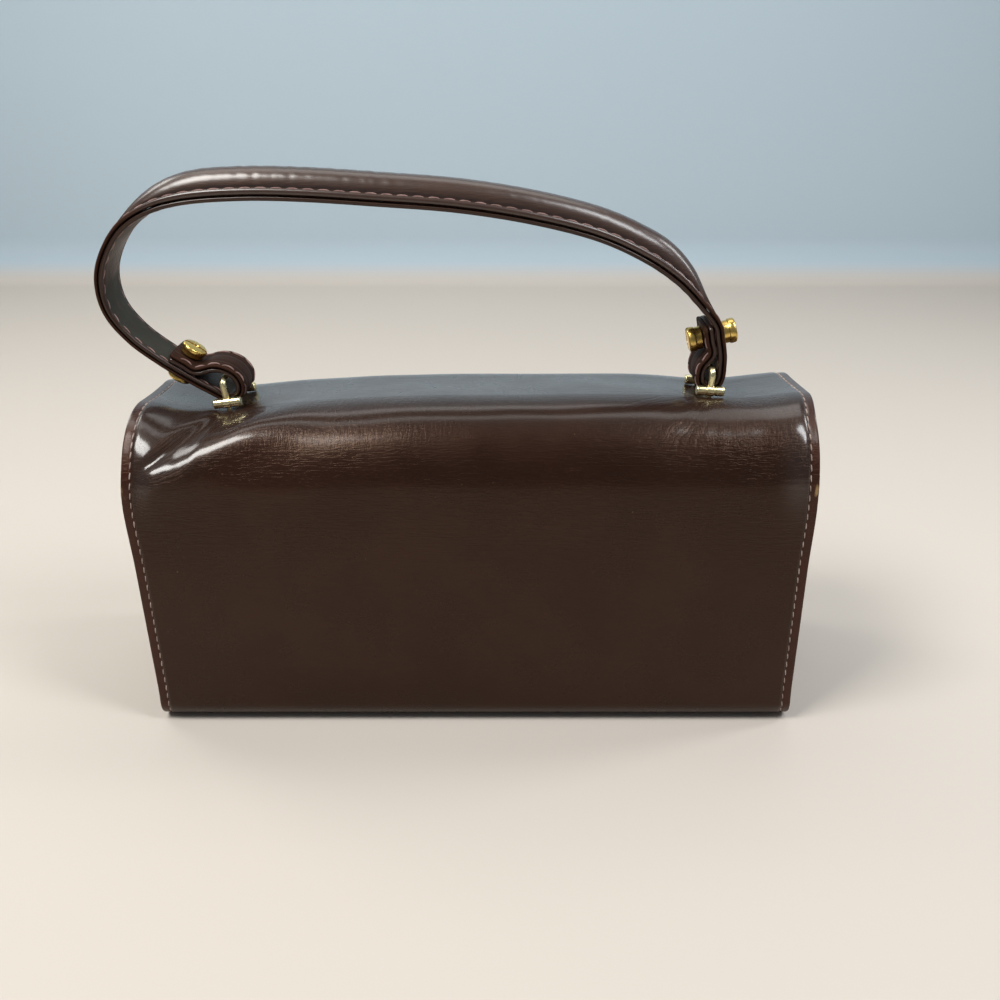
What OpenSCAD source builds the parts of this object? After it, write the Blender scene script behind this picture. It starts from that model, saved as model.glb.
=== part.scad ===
// Structured top handle bag: a boxed body with V-fold gussets, a deep flap that forms
// the roof and the front, and a stitched, padded strap handle on two brass staples.
// Frame: X along the panel, -Y the plain back, +Y the flap front, Z up, origin on the
// floor under the middle of the body. Millimetres.

/* [Bag] */
// Width of the body and the flap
bag_w = 220; // [190:1:250]
// Depth from the plain back to the outside of the flap
bag_d = 76; // [70:1:90]
// Height of the crease on which the flap folds
crease_h = 87.3; // [75:0.1:100]
// Depth of the level part of the roof between its round shoulders
roof_flat = 24; // [22:1:40]
// Fall of the roof from the back shoulder to the front one
roof_fall = 1.8; // [0:0.1:4]
// Radius of the folds under the back and the front
bottom_r = 8; // [6:0.5:12]
// Height of the flap's lower edge
flap_low = 17; // [12:1:24]
// Depth of the top of the front panel below the crease
mouth_drop = 2; // [1:0.5:15]
// Free space between the flap and the front panel
flap_standoff = 2.6; // [2.4:0.1:5]

/* [Leather] */
// Thickness of the outer leather
cover_t = 1.6; // [1.2:0.1:2]
// Thickness of the stiffening boards
board_t = 1.2; // [0.8:0.1:1.6]
// Thickness of the lining
lining_t = 0.8; // [0.5:0.1:1]
// Thickness of the gusset leather
gusset_t = 1.2; // [0.8:0.1:1.6]
// Width of the stitched margin at the side edges
seam_w = 3.4; // [2.5:0.1:4.5]
// Depth by which the stitched margin lies lower
seam_drop = 0.35; // [0.2:0.05:0.6]
// Width of the gusset flanges behind the side edges
flange_w = 6; // [5:0.5:8]
// Depth of the gusset fold at the mouth
gusset_fold = 9; // [5:0.5:12]

/* [Worn shape] */
// Sinking of the roof about the left staple
left_sink = 3.4; // [0:0.1:5]
// Depth of the dent at the left staple
left_dent = 3.9; // [0:0.1:5]
// Depth of the dent at the right staple
right_dent = 3.5; // [0:0.1:4]
// Sag along the middle of the roof
crown_sag = 1.3; // [0:0.1:2]

/* [Handle] */
// Distance of a staple from the side edge, before the pair is shifted
staple_inset = 30.5; // [26:0.5:40]
// Offset of the pair of staples from the middle
staple_shift = -2; // [-5:0.25:5]
// Height of the handle's crest above the roof
handle_rise = 67.2; // [55:0.1:85]
// Width of the strap
strap_w = 16.5; // [14:0.5:18]
// Thickness of the strap's upper leather
upper_t = 1.25; // [1:0.05:1.4]
// Thickness of the strap's underside leather
under_t = 1.7; // [1.5:0.05:1.9]
// Height of the padded crown above the strap's edges
crown_h = 5.6; // [4:0.1:8]
// Extra thickness of the strap's turned edges along the arch
arch_edge = 0.9; // [0:0.1:1.5]
// Reach of the strap loops from the middle of the rod
loop_size = 5.2; // [5:0.1:6]

/* [Hardware] */
// Radius of the staple rod
rod_r = 1.05; // [0.8:0.05:1.1]
// Distance between the two legs of a staple
leg_gap = 20; // [19.5:0.1:22]
// Height of the rod's axis above the saddle bars
staple_rise = 8.2; // [7.6:0.1:8.8]
// Length of a saddle bar
bar_len = 9.2; // [7:0.1:12]
// Radius of a saddle bar
bar_r = 1.4; // [1:0.05:1.5]
// Radius of the saddle bar's middle collar
collar_r = 1.55; // [1.3:0.05:1.6]
// Radius of the stud heads
stud_r = 4.1; // [3.5:0.1:5]
// Thickness of a stud head's lower step
stud_step = 2.2; // [1.5:0.1:2.5]
// Thickness of a stud head's cap
stud_cap = 2.5; // [2:0.1:3]
// Radius of the stud barrel
barrel_r = 1.8; // [1.6:0.1:2.2]
// Radius of the press stud's discs
snap_r = 5.6; // [5:0.1:7]
// Height of the press stud above the floor
snap_h = 32; // [28:1:40]

/* [Hidden] */

// Fits: seated layers, parts that pass one another, and the overrun of the cuts
seat = 0.1;
fold_gap = 0.3;
hole_gap = 0.1;
rest_gap = 0.3;
bar_gap = 0.4;
cut_over = 1;

// Fineness of turned forms and of the sheets
turned_fn = 48;
arc_steps = 8;
roof_steps = 4;
panel_steps = 4;
flap_columns = 24;
lining_columns = 14;
route_steps = 2;

// Colours
leather_brown = [0.20, 0.13, 0.10];
leather_dark = [0.13, 0.085, 0.065];
board_grey = [0.55, 0.50, 0.42];
lining_tan = [0.62, 0.50, 0.36];
underside_grey = [0.26, 0.27, 0.25];
felt_grey = [0.45, 0.43, 0.40];
brass_pale = [0.85, 0.78, 0.48];
brass_gold = [0.74, 0.58, 0.22];
steel_grey = [0.60, 0.60, 0.58];

// Body: outside faces and the stack of layers
board_margin = 1.5;
lining_margin = 1;
flange_inset = 0.4;
binding_h = 4;
pocket_w = 110;
pocket_h = 44;
pocket_low = 24;
pocket_r = 8;
welt_h = 6;
lining_share = 0.03;
half_w = bag_w / 2;
staple_span = bag_w - 2 * staple_inset;
back_y = -bag_d / 2;
flap_stack = cover_t + board_t + lining_t + 2 * seat;
front_y = bag_d / 2 - flap_stack - flap_standoff;
cover_in = cover_t + seat;
lining_in = cover_in + board_t + seat;
body_stack = lining_in + lining_t;
back_top = crease_h - fold_gap / 2;
inner_w = bag_w - 2 * (flange_w + gusset_t + 2 * rest_gap);
mid_y = (back_y + front_y) / 2;
edge_x = half_w - flange_inset;
mouth_h = crease_h - mouth_drop;
gusset_top = mouth_h - lining_margin;
mitre = 45;
corner_step = 6;

// Flap: roof shoulders and the space in which its lining hangs
shoulder_r = (bag_d - roof_flat) / 2;
front_centre_z = crease_h - roof_fall;
washer_t = 0.8;
rivet_t = 0.5;
lining_hang = washer_t + rivet_t + 4 * rest_gap;

// Dents: where they lie and how far they spread
sink_w = 30;
left_x = staple_shift - staple_span / 2;
right_x = staple_shift + staple_span / 2;
left_dent_off = 9.5;
left_dent_y = 1;
left_dent_w = 13;
left_dent_d = 20;
right_dent_off = 6;
right_dent_y = 8;
right_dent_w = 14;
right_dent_d = 17;

// Hardware
leg_y = leg_gap / 2;
bend_r = 2;
bend_lap = 0.3;
bend_swell = 0.03;
collar_w = 2.4;
prong_r = 0.7;
rivet_r = 1.4;
washer_r = 3.4;
washer_gap = 0.5;
tilt_reach = 2;
snap_disc_t = 0.8;
nub_r = 3;
nub_top_r = 1;
nub_h = 1.2;
socket_t = 1.3;
socket_hole_r = 2.9;
snap_washer_r = 6.2;
snap_washer_t = 0.7;

// Strap: the padded crown, the folded ends and the two studs
crown_half_w = 6.1;
edge_round = 0.5;
skin_t = 1.25;
end_crown_share = 0.02;
stack_gap = 0.1;
tail_past = 5.2;
straight_run = 4.2;
splay = 2;
screw_r = 1.15;
screw_gap = 0.05;
head_bevel = 0.5;
step_in = 0.35;
slot_w = 0.8;
slot_deep = 0.9;
crown_steps = 6;
crown_from_share = 5.5;
crown_run_share = 3;
crown_end_share = 1;
rim_shares = [0.91, 0.88, 0.85];
core_share = 0.96;
core_edge = 0.4;

// Handle route as shares: the loops in units of loop_size about the middle of each rod,
// the arch across in units of half the staple span and up in units of the handle rise
left_loop_shares = [[-0.70, 0.74], [0, 0.66], [0.66, 0.28], [1.02, -0.34], [0.92, -0.98],
    [0.38, -1.32], [-0.26, -1.16], [-0.96, -0.76], [-1.75, -0.30]];
left_stud_share = [-2.81, 0.38];
arch_shares = [[-1.272, 0.130], [-1.372, 0.229], [-1.447, 0.352], [-1.468, 0.482], [-1.443, 0.611],
    [-1.363, 0.752], [-1.245, 0.842], [-1.090, 0.890], [-0.867, 0.908], [-0.635, 0.904],
    [-0.345, 0.883], [-0.034, 0.855], [0.260, 0.802], [0.518, 0.726], [0.711, 0.626],
    [0.848, 0.520], [0.941, 0.414], [1.015, 0.312]];
right_stud_share = [0.43, 1.87];
right_loop_shares = [[0.63, 0.92], [0.68, 0.10], [0.65, -0.60], [0.42, -1.12], [-0.05, -1.34],
    [-0.50, -1.12], [-0.72, -0.62], [-0.60, 0.14]];

// Small helpers: an eased step, a bell curve, and steps between two values
function ease(t) = let(c = max(0, min(1, t))) c * c * (3 - 2 * c);
function bell(d, spread) = exp(-(d / spread) * (d / spread) / 2);
function mix(a, b, t) = a + (b - a) * t;
function steps(a, b, n) = [for (i = [0:n]) mix(a, b, i / n)];

// How far the worn roof lies below the new one
function roof_drop(x, y) =
    left_sink * bell(x - left_x, sink_w)
    + crown_sag * (1 - (x / half_w) * (x / half_w))
    + left_dent * bell(x - left_x + left_dent_off, left_dent_w) * bell(y - left_dent_y, left_dent_d)
    + right_dent * bell(x - right_x - right_dent_off, right_dent_w) * bell(y - right_dent_y, right_dent_d);

// Height of the worn roof between its shoulders
function roof_z(x, y) =
    crease_h + shoulder_r - roof_fall * (y + roof_flat / 2) / roof_flat - roof_drop(x, y);
function roof_tilt(x, y) =
    atan((roof_z(x + tilt_reach, y) - roof_z(x - tilt_reach, y)) / (2 * tilt_reach));

// The flap's outline at depth t in its layers. s runs 0 to 1 up the back shoulder, to 2
// over the roof, to 3 down the front shoulder and to 4 down the front: [y, z, share of the dents]
function flap_point(s, t) = let(r = shoulder_r - t)
    s <= 1 ? let(a = 90 * s)
        [-roof_flat / 2 - r * cos(a), crease_h + fold_gap / 2 + r * sin(a), sin(90 * sin(a))]
    : s <= 2 ? [mix(-roof_flat / 2, roof_flat / 2, s - 1),
        mix(crease_h + fold_gap / 2, front_centre_z, s - 1) + r, 1]
    : s <= 3 ? let(a = 90 * (3 - s))
        [roof_flat / 2 + r * cos(a), front_centre_z + r * sin(a), sin(90 * sin(a))]
    : [bag_d / 2 - t, mix(front_centre_z, flap_low, s - 3), 0];
function flap_place(x, s, t, hang) = let(p = flap_point(s, t))
    [x, p[0], p[1] - p[2] * (roof_drop(x, p[0]) + hang)];

// A closed solid between two like grids of points, its rims closed all round
module sheet_solid(outer, inner) {
    nu = len(outer);
    nv = len(outer[0]);
    n = nu * nv;
    pts = concat([for (row = outer) for (p = row) p], [for (row = inner) for (p = row) p]);
    faces = concat(
        [for (i = [0:nu - 2]) for (j = [0:nv - 2]) let(a = i * nv + j) each
            [[a, a + nv + 1, a + nv], [a, a + 1, a + nv + 1],
            [n + a, n + a + nv, n + a + nv + 1], [n + a, n + a + nv + 1, n + a + 1]]],
        [for (i = [0:nu - 2]) let(a = i * nv, b = a + nv - 1) each
            [[a, a + nv, n + a + nv], [a, n + a + nv, n + a],
            [b, n + b + nv, b + nv], [b, n + b, n + b + nv]]],
        [for (j = [0:nv - 2]) let(a = j, b = (nu - 1) * nv + j) each
            [[a, n + a + 1, a + 1], [a, n + a, n + a + 1],
            [b, b + 1, n + b + 1], [b, n + b + 1, n + b]]]);
    polyhedron(pts, faces, convexity = 10);
}

// A layer of the flap between the depths t0 and t1, over the columns xs and the outline steps ss
module flap_layer(xs, ss, t0, t1, hang) {
    sheet_solid([for (x = xs) [for (s = ss) flap_place(x, s, t0, hang)]],
        [for (x = xs) [for (s = ss) flap_place(x, s, t1, hang)]]);
}

// The body's closed outline at depth t: a rectangle with round lower corners
module body_area(t, top) {
    translate([back_y + t, bottom_r]) square([front_y - back_y - 2 * t, top - bottom_r]);
    translate([back_y + bottom_r, t]) square([front_y - back_y - 2 * bottom_r, bottom_r]);
    for (y = [back_y + bottom_r, front_y - bottom_r])
        translate([y, bottom_r]) circle(bottom_r - t, $fn = turned_fn);
}

// A U-shaped sheet between the depths t0 and t1, w wide, whose front leg ends lower
module u_sheet(t0, t1, w, top_back, top_front) {
    rotate([90, 0, 90]) translate([0, 0, -w / 2]) linear_extrude(w) difference() {
        body_area(t0, top_back);
        body_area(t1, top_back + cut_over);
        translate([0, top_front]) square([bag_d, crease_h]);
    }
}

// A flat board between two depths of the back or the front, d0 and d1 from y = 0
module upright_board(y0, y1, w, z0, z1) {
    translate([-w / 2, min(y0, y1), z0]) cube([w, abs(y1 - y0), z1 - z0]);
}

// A disc that faces the front, from y0 to y1, at the height of the press stud, and its shank's hole
module snap_disc(y0, y1, r, r_end) {
    translate([0, y0, snap_h]) rotate([-90, 0, 0]) cylinder(y1 - y0, r, r_end, $fn = turned_fn);
}
module snap_hole(y0, y1) { snap_disc(y0, y1, nub_top_r + hole_gap, nub_top_r + hole_gap); }

module body_cover() {
    color(leather_brown) difference() {
        u_sheet(0, cover_t, bag_w, back_top, mouth_h);
        for (side = [-1, 1]) translate([side * half_w, 0, 0]) rotate([90, 0, 90])
            translate([0, 0, -seam_w]) linear_extrude(2 * seam_w) difference() {
                translate([back_y - cut_over, -cut_over])
                    square([bag_d, crease_h + 2 * cut_over]);
                body_area(seam_drop, crease_h + 2 * cut_over);
            }
        snap_hole(front_y - body_stack, front_y + cut_over);
    }
}

module back_board() {
    color(board_grey) upright_board(back_y + cover_in, back_y + cover_in + board_t,
        inner_w, bottom_r, back_top - board_margin);
}

module bottom_board() {
    color(board_grey) translate([-inner_w / 2, back_y + bottom_r, cover_in])
        cube([inner_w, front_y - back_y - 2 * bottom_r, board_t]);
}

module front_board() {
    color(board_grey) difference() {
        upright_board(front_y - cover_in, front_y - cover_in - board_t,
            inner_w, bottom_r, mouth_h - board_margin);
        snap_disc(front_y - body_stack, front_y, snap_washer_r + hole_gap, snap_washer_r + hole_gap);
    }
}

module body_lining() {
    color(lining_tan) u_sheet(lining_in, body_stack, inner_w, back_top - lining_margin,
        mouth_h - lining_margin);
}

// A gusset is one sheet: a side panel with a fold that grows from nothing low down to its full
// depth at the mouth, and a flange turned out behind the edges of the cover. Its grid has rows
// from the mouth to the bottom and columns from back to front; t is the depth of its rim.
function rim_side(t, top) = concat(
    [for (z = steps(gusset_top, bottom_r, panel_steps)) [back_y + t, min(z, top)]],
    [for (a = [1, 2]) rim_corner(t, mitre * a / 2)]);
function rim_corner(t, a) =
    [back_y + bottom_r - (bottom_r - t) * cos(a), bottom_r - (bottom_r - t) * sin(a)];
function rim_bottom(t) = let(half = [for (a = [2, 3, 4]) rim_corner(t, mitre * a / 2)],
    flat = [for (v = [1:panel_steps - 1]) [mix(half[2][0], mid_y, v / panel_steps), t]])
    concat(half, flat, [[mid_y, t]], [for (i = [len(flat) - 1:-1:0]) mirrored(flat[i])],
        [for (i = [2:-1:0]) mirrored(half[i])]);
function mirrored(p) = [2 * mid_y - p[0], p[1]];
function panel_place(side, bottom, i, j) = let(
    v = (bottom[j][0] - bottom[0][0]) / (bottom[len(bottom) - 1][0] - bottom[0][0]),
    u = i / (len(side) - 1))
    [mix(side[i][0], mirrored(side[i])[0], v), side[i][1] + (bottom[j][1] - bottom[0][1]) * u];
function fold_share(y) = max(0, 1 - abs(y - mid_y) / (mid_y - back_y - body_stack));
function folded(p, x) =
    [x - gusset_fold * ease((p[1] - bottom_r) / (gusset_top - bottom_r)) * fold_share(p[0]), p[0], p[1]];
function panel_grid(t, x, top) = let(side = rim_side(t, top), bottom = rim_bottom(t))
    [for (i = [0:len(side) - 1]) [for (j = [0:len(bottom) - 1])
        folded(panel_place(side, bottom, i, j), x)]];
function edged(row, p) = concat([[edge_x, p[0], p[1]]], row, [[edge_x, mirrored(p)[0], p[1]]]);
function gusset_grid(t, x, top) = let(side = rim_side(t, top), bottom = rim_bottom(t),
    near = rim_corner(t, mitre - corner_step), past = rim_corner(t, mitre + corner_step), n = len(side) - 1,
    rows = panel_grid(t, x, top))
    concat([for (i = [0:n]) edged(rows[i], i < n ? side[i] : near)],
        [edged([for (j = [0:len(bottom) - 1]) let(b = j == 0 ? past
            : j == len(bottom) - 1 ? mirrored(past) : bottom[j]) [edge_x, b[0], b[1]]], side[n])]);

module gusset() {
    x = half_w - flange_w;
    sheet_solid(gusset_grid(cover_in + gusset_t, x, gusset_top),
        gusset_grid(cover_in, x - gusset_t, gusset_top));
}
module gusset_lining() {
    top = gusset_top - lining_margin;
    x = half_w - flange_w - gusset_t - rest_gap;
    sheet_solid(panel_grid(body_stack + seat, x, top), panel_grid(body_stack + seat, x - lining_t, top));
}

module gusset_right() { color(leather_dark) gusset(); }
module gusset_left() { color(leather_dark) mirror([1, 0, 0]) gusset(); }
module gusset_lining_right() { color(lining_tan) gusset_lining(); }
module gusset_lining_left() { color(lining_tan) mirror([1, 0, 0]) gusset_lining(); }

// The strip that closes the layers along the top of the front panel
module mouth_binding() {
    y0 = front_y - body_stack - seat - lining_t;
    y1 = front_y + seat + lining_t;
    z1 = mouth_h + seat + lining_t;
    w = inner_w - 2 * (lining_t + rest_gap);
    color(leather_dark) difference() {
        translate([-w / 2, y0, mouth_h - binding_h]) cube([w, y1 - y0, z1 - mouth_h + binding_h]);
        translate([-w / 2 - cut_over, y0 + lining_t, mouth_h - binding_h - cut_over])
            cube([w + 2 * cut_over, y1 - y0 - 2 * lining_t, binding_h + cut_over + seat]);
    }
}

// The inner pocket: a patch with round lower corners and a folded welt along its mouth
module slip_pocket() {
    y0 = back_y + body_stack + seat;
    color(lining_tan) translate([0, y0 + lining_t, pocket_low]) rotate([90, 0, 0])
        linear_extrude(lining_t) {
            translate([-pocket_w / 2, pocket_r]) square([pocket_w, pocket_h - pocket_r]);
            translate([-pocket_w / 2 + pocket_r, 0]) square([pocket_w - 2 * pocket_r, pocket_h]);
            for (side = [-1, 1]) translate([side * (pocket_w / 2 - pocket_r), pocket_r])
                circle(pocket_r, $fn = turned_fn);
        }
}
module pocket_welt() {
    y0 = back_y + body_stack + 2 * seat + lining_t;
    color(leather_dark) translate([-pocket_w / 2, y0, pocket_low + pocket_h - welt_h])
        cube([pocket_w, lining_t, welt_h]);
}

// Press stud: a shallow cone on a disc, with a shank through the front to its washer
module snap_stud() {
    y0 = front_y + seat;
    color(brass_gold) {
        snap_disc(y0, y0 + snap_disc_t, snap_r, snap_r);
        snap_disc(y0 + snap_disc_t, y0 + snap_disc_t + nub_h, nub_r, nub_top_r);
        snap_disc(front_y - cover_in - seat - snap_washer_t, y0 + seat, nub_top_r, nub_top_r);
    }
}
module snap_stud_washer() {
    y1 = front_y - cover_in - seat;
    color(steel_grey) difference() {
        snap_disc(y1 - snap_washer_t, y1, snap_washer_r, snap_washer_r);
        snap_hole(y1 - snap_washer_t - cut_over, y1 + cut_over);
    }
}

// Stations that the flap's layers share, so that they lie on one another without crossing:
// along the panel, and along the outline up the back shoulder, over the roof and down the front
columns = steps(-half_w, half_w, flap_columns);
shoulder_up = steps(1 / arc_steps, 1, arc_steps - 1);
roof_run = steps(1 + 1 / roof_steps, 2, roof_steps - 1);
shoulder_down = steps(2 + 1 / arc_steps, 3, arc_steps - 1);
function columns_within(w) = concat([-w], [for (x = columns) if (abs(x) < w - seat) x], [w]);

module flap_cover() {
    color(leather_brown) difference() {
        flap_layer(columns, concat([0], shoulder_up, roof_run, shoulder_down,
            steps(3 + 1 / panel_steps, 4, panel_steps - 1)), 0, cover_t, 0);
        leg_holes(prong_r + hole_gap);
    }
}

module roof_board() {
    down = [for (s = shoulder_down) if (s < 3) s];
    color(board_grey) difference() {
        flap_layer(columns_within(half_w - flange_w), concat(shoulder_up, roof_run, down),
            cover_in, cover_in + board_t, 0);
        leg_holes(prong_r + hole_gap);
    }
}

// The stiffener in the flat front of the flap, with a place for the press stud's washer
module flap_board() {
    w = bag_w - 2 * flange_w;
    color(board_grey) difference() {
        upright_board(bag_d / 2 - cover_in, bag_d / 2 - cover_in - board_t, w,
            flap_low + board_margin, front_centre_z - board_margin);
        snap_disc(bag_d / 2 - flap_stack, bag_d / 2, snap_washer_r + hole_gap, snap_washer_r + hole_gap);
    }
}

module flap_lining() {
    w = half_w - flange_w + lining_margin;
    t = cover_in + board_t + seat;
    color(lining_tan) difference() {
        flap_layer(steps(-w, w, lining_columns), concat(shoulder_up, roof_run, shoulder_down,
            [4 - lining_share]), t, t + lining_t, lining_hang);
        snap_hole(bag_d / 2 - flap_stack - cut_over, bag_d / 2);
    }
}

// The ring that the press stud's cone enters, on a shank through the lining to its washer
module snap_socket() {
    y1 = bag_d / 2 - flap_stack - seat;
    color(brass_gold) difference() {
        union() {
            snap_disc(y1 - socket_t, y1, snap_r, snap_r);
            snap_disc(y1 - seat, y1 + seat + lining_t + snap_washer_t, nub_top_r, nub_top_r);
        }
        snap_disc(y1 - socket_t - cut_over, y1 - seat * 2, socket_hole_r, socket_hole_r);
    }
}
module snap_socket_washer() {
    y0 = bag_d / 2 - flap_stack + lining_t + seat;
    color(steel_grey) difference() {
        snap_disc(y0, y0 + snap_washer_t, snap_washer_r, snap_washer_r);
        snap_hole(y0 - cut_over, y0 + snap_washer_t + cut_over);
    }
}

// Places of the staples: the foot of a leg on the roof, and the frame that leans with the roof
function foot_z(x, y) = roof_z(x, y) + collar_r + bar_gap;
function staple_foot(x) = (foot_z(x, -leg_y) + foot_z(x, leg_y)) / 2;
function staple_lean(x) = (roof_tilt(x, -leg_y) + roof_tilt(x, leg_y)) / 2;
function rod_centre(x) = let(a = staple_lean(x))
    [x - staple_rise * sin(a), staple_foot(x) + staple_rise * cos(a)];
function leg_offset(x, y) = foot_z(x, y) - staple_foot(x);
module on_staple(x) {
    translate([x, 0, staple_foot(x)]) rotate([0, -staple_lean(x), 0]) children();
}
module leg_holes(r) {
    for (x = [left_x, right_x]) on_staple(x) for (y = [-leg_y, leg_y])
        translate([0, y, -staple_rise]) cylinder(2 * staple_rise, r, r, $fn = turned_fn);
}

// A staple: a rod across, two round bends, two legs, thin prongs through the roof and rivets.
// washer_top is the depth of the washers' upper faces below the axis of the saddle bars.
washer_top = collar_r + bar_gap + cover_in + board_t + washer_gap;
module staple(x) {
    depth = washer_top + washer_t + rivet_t + seat;
    color(brass_pale) on_staple(x) {
        translate([0, -leg_y + bend_r - bend_lap, staple_rise]) rotate([-90, 0, 0])
            cylinder(leg_gap - 2 * (bend_r - bend_lap), rod_r, rod_r, $fn = turned_fn);
        for (side = [-1, 1]) {
            foot = leg_offset(x, side * leg_y);
            translate([0, side * (leg_y - bend_r), staple_rise - bend_r])
                rotate([90, 0, side * 90]) rotate_extrude(angle = 90, $fn = turned_fn)
                    translate([bend_r, 0]) circle(rod_r + bend_swell, $fn = turned_fn);
            translate([0, side * leg_y, foot])
                cylinder(staple_rise - bend_r + bend_lap - foot, rod_r, rod_r, $fn = turned_fn);
            translate([0, side * leg_y, foot - depth])
                cylinder(depth + seat, prong_r, prong_r, $fn = turned_fn);
            translate([0, side * leg_y, foot - depth])
                cylinder(rivet_t, rivet_r, rivet_r, $fn = turned_fn);
        }
    }
}

// The two saddle bars of a staple, each with a collar that the leg passes through
module saddle_bars(x) {
    color(brass_pale) on_staple(x) for (y = [-leg_y, leg_y]) difference() {
        translate([0, y, leg_offset(x, y)]) rotate([0, 90, 0]) {
            translate([0, 0, -bar_len / 2]) cylinder(bar_len, bar_r, bar_r, $fn = turned_fn);
            translate([0, 0, -collar_w / 2]) cylinder(collar_w, collar_r, collar_r, $fn = turned_fn);
        }
        translate([0, y, leg_offset(x, y) - staple_rise])
            cylinder(2 * staple_rise, rod_r + seat, rod_r + seat, $fn = turned_fn);
    }
}

// The washers under the roof board on which the prongs are riveted
module leg_washers(x) {
    color(steel_grey) on_staple(x) for (y = [-leg_y, leg_y])
        translate([0, y, leg_offset(x, y) - washer_top - washer_t]) difference() {
            cylinder(washer_t, washer_r, washer_r, $fn = turned_fn);
            translate([0, 0, -cut_over])
                cylinder(washer_t + 2 * cut_over, prong_r + seat, prong_r + seat, $fn = turned_fn);
        }
}
module staple_left() { staple(left_x); }
module staple_right() { staple(right_x); }
module saddle_bars_left() { saddle_bars(left_x); }
module saddle_bars_right() { saddle_bars(right_x); }
module leg_washers_left() { leg_washers(left_x); }
module leg_washers_right() { leg_washers(right_x); }

// The handle's route in the X-Z plane, along the joint between its two leathers: from the
// left cut end round the left rod, over the arch, round the right rod to the right cut end
roof_top = crease_h + shoulder_r;
left_rod = rod_centre(left_x);
right_rod = rod_centre(right_x);
function unit(v) = v / norm(v);
function turned(v) = [-v[1], v[0]];
function leaned(v, a) = [v[0] * cos(a) - v[1] * sin(a), v[0] * sin(a) + v[1] * cos(a)];
arch = [for (p = arch_shares) [staple_shift + p[0] * staple_span / 2, roof_top + p[1] * handle_rise]];
left_loop = [for (p = left_loop_shares) left_rod + loop_size * p];
right_loop = [for (p = right_loop_shares) right_rod + loop_size * p];
left_stud = left_rod + loop_size * left_stud_share;
right_stud = right_rod + loop_size * right_stud_share;
left_way = unit(arch[0] - left_loop[len(left_loop) - 1]);
right_way = unit(right_loop[0] - arch[len(arch) - 1]);
stack = 2 * under_t + stack_gap;
left_side = -turned(left_way);
right_side = -turned(right_way);
left_tail = [for (d = [0, tail_past, tail_past + straight_run])
    left_stud + stack * left_side + tail_past * left_way - d * leaned(left_way, splay)];
right_tail = [for (d = [tail_past + straight_run, tail_past, 0])
    right_stud + stack * right_side - tail_past * right_way + d * leaned(right_way, -splay)];
route = concat(left_tail, left_loop, [left_stud], arch, [right_stud], right_loop, right_tail);
last = len(route) - 1;
arch_from = len(left_tail) + len(left_loop);
arch_to = arch_from + len(arch) + 1;

// A smooth curve through the route: the place and the direction at u, counted in points
function spline(a, b, c, d, t) = (2 * b + (c - a) * t + (2 * a - 5 * b + 4 * c - d) * t * t
    + (3 * b - a - 3 * c + d) * t * t * t) / 2;
function route_at(u) = let(i = min(floor(u), last - 1), t = u - i)
    spline(route[max(i - 1, 0)], route[i], route[i + 1], route[min(i + 2, last)], t);
function route_way(u) = let(h = 1 / (2 * route_steps))
    unit(route_at(min(u + h, last)) - route_at(max(u - h, 0)));
function strap_point(u, y, b) = let(p = route_at(u), n = turned(route_way(u)))
    [p[0] + n[0] * b, y, p[1] + n[1] * b];

// The share of the full crown: nearly flat at the folded ends, full over the arch
function crown_share(u) = mix(end_crown_share, 1,
    min(ease((u - arch_from - crown_from_share) / crown_run_share),
    ease((arch_to - crown_end_share - u) / crown_run_share)));

// Half the width at which the strap's sections are drawn, and the hollow under the crown
strap_half = strap_w / 2;
hollow_full = crown_h + arch_edge + upper_t - skin_t - 2 * seat;
function arch_share(u) = (crown_share(u) - end_crown_share) / (1 - end_crown_share);
function hollow_h(u) = mix(seat, hollow_full, arch_share(u));
function edge_top(u) = upper_t + arch_edge * arch_share(u);

// The strap's outside and inside across its width at u
function crown_outside(u) = let(top = edge_top(u))
    concat([[-strap_half, seat], [-strap_half, top - edge_round], [-strap_half + edge_round, top]],
    [for (i = [0:crown_steps]) let(a = 180 - 180 * i / crown_steps)
        [crown_half_w * cos(a), top + crown_h * crown_share(u) * sin(a)]],
    [[strap_half - edge_round, top], [strap_half, top - edge_round], [strap_half, seat]]);
function crown_inside(u) = concat([for (s = rim_shares) [-s * strap_half, rim_b(s)]],
    [for (i = [0:crown_steps]) let(a = 180 - 180 * i / crown_steps)
        [(crown_half_w - skin_t) * cos(a), rim_b(0) + hollow_h(u) * sin(a)]],
    [for (i = [1:3]) let(s = rim_shares[3 - i]) [s * strap_half, rim_b(s)]]);
function rim_b(s) = s == rim_shares[0] ? seat : 2 * seat;

// A part of the strap between two families of section curves, from u0 to u1
function route_stations(u0, u1) = [for (i = [0:round((u1 - u0) * route_steps)]) u0 + i / route_steps];
module strap_layer(us, above, below) {
    sheet_solid([for (s = below) [for (p = s[1]) strap_point(s[0], p[0], p[1])]],
        [for (s = above) [for (p = s[1]) strap_point(s[0], p[0], p[1])]]);
}

module strap_upper() {
    us = route_stations(0, last);
    color(leather_brown) difference() {
        strap_layer(us, [for (u = us) [u, crown_outside(u)]], [for (u = us) [u, crown_inside(u)]]);
        stud_holes();
    }
}

// The felt filler under the crown, as long as the crown is full
module strap_core() {
    us = route_stations(arch_from + crown_from_share + crown_run_share / 2,
        arch_to - crown_end_share - crown_run_share / 2);
    w = crown_half_w - skin_t - hole_gap;
    color(felt_grey) strap_layer(us,
        [for (u = us) [u, [for (i = [0:crown_steps]) let(a = 180 - 180 * i / crown_steps)
            [w * cos(a) * core_share,
            core_edge + seat + (hollow_h(u) - core_edge - 2 * hole_gap) * sin(a)]]]],
        [for (u = us) [u, [for (i = [0:crown_steps]) let(a = 180 - 180 * i / crown_steps)
            [w * cos(a) * core_share, seat]]]]);
}

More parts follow.
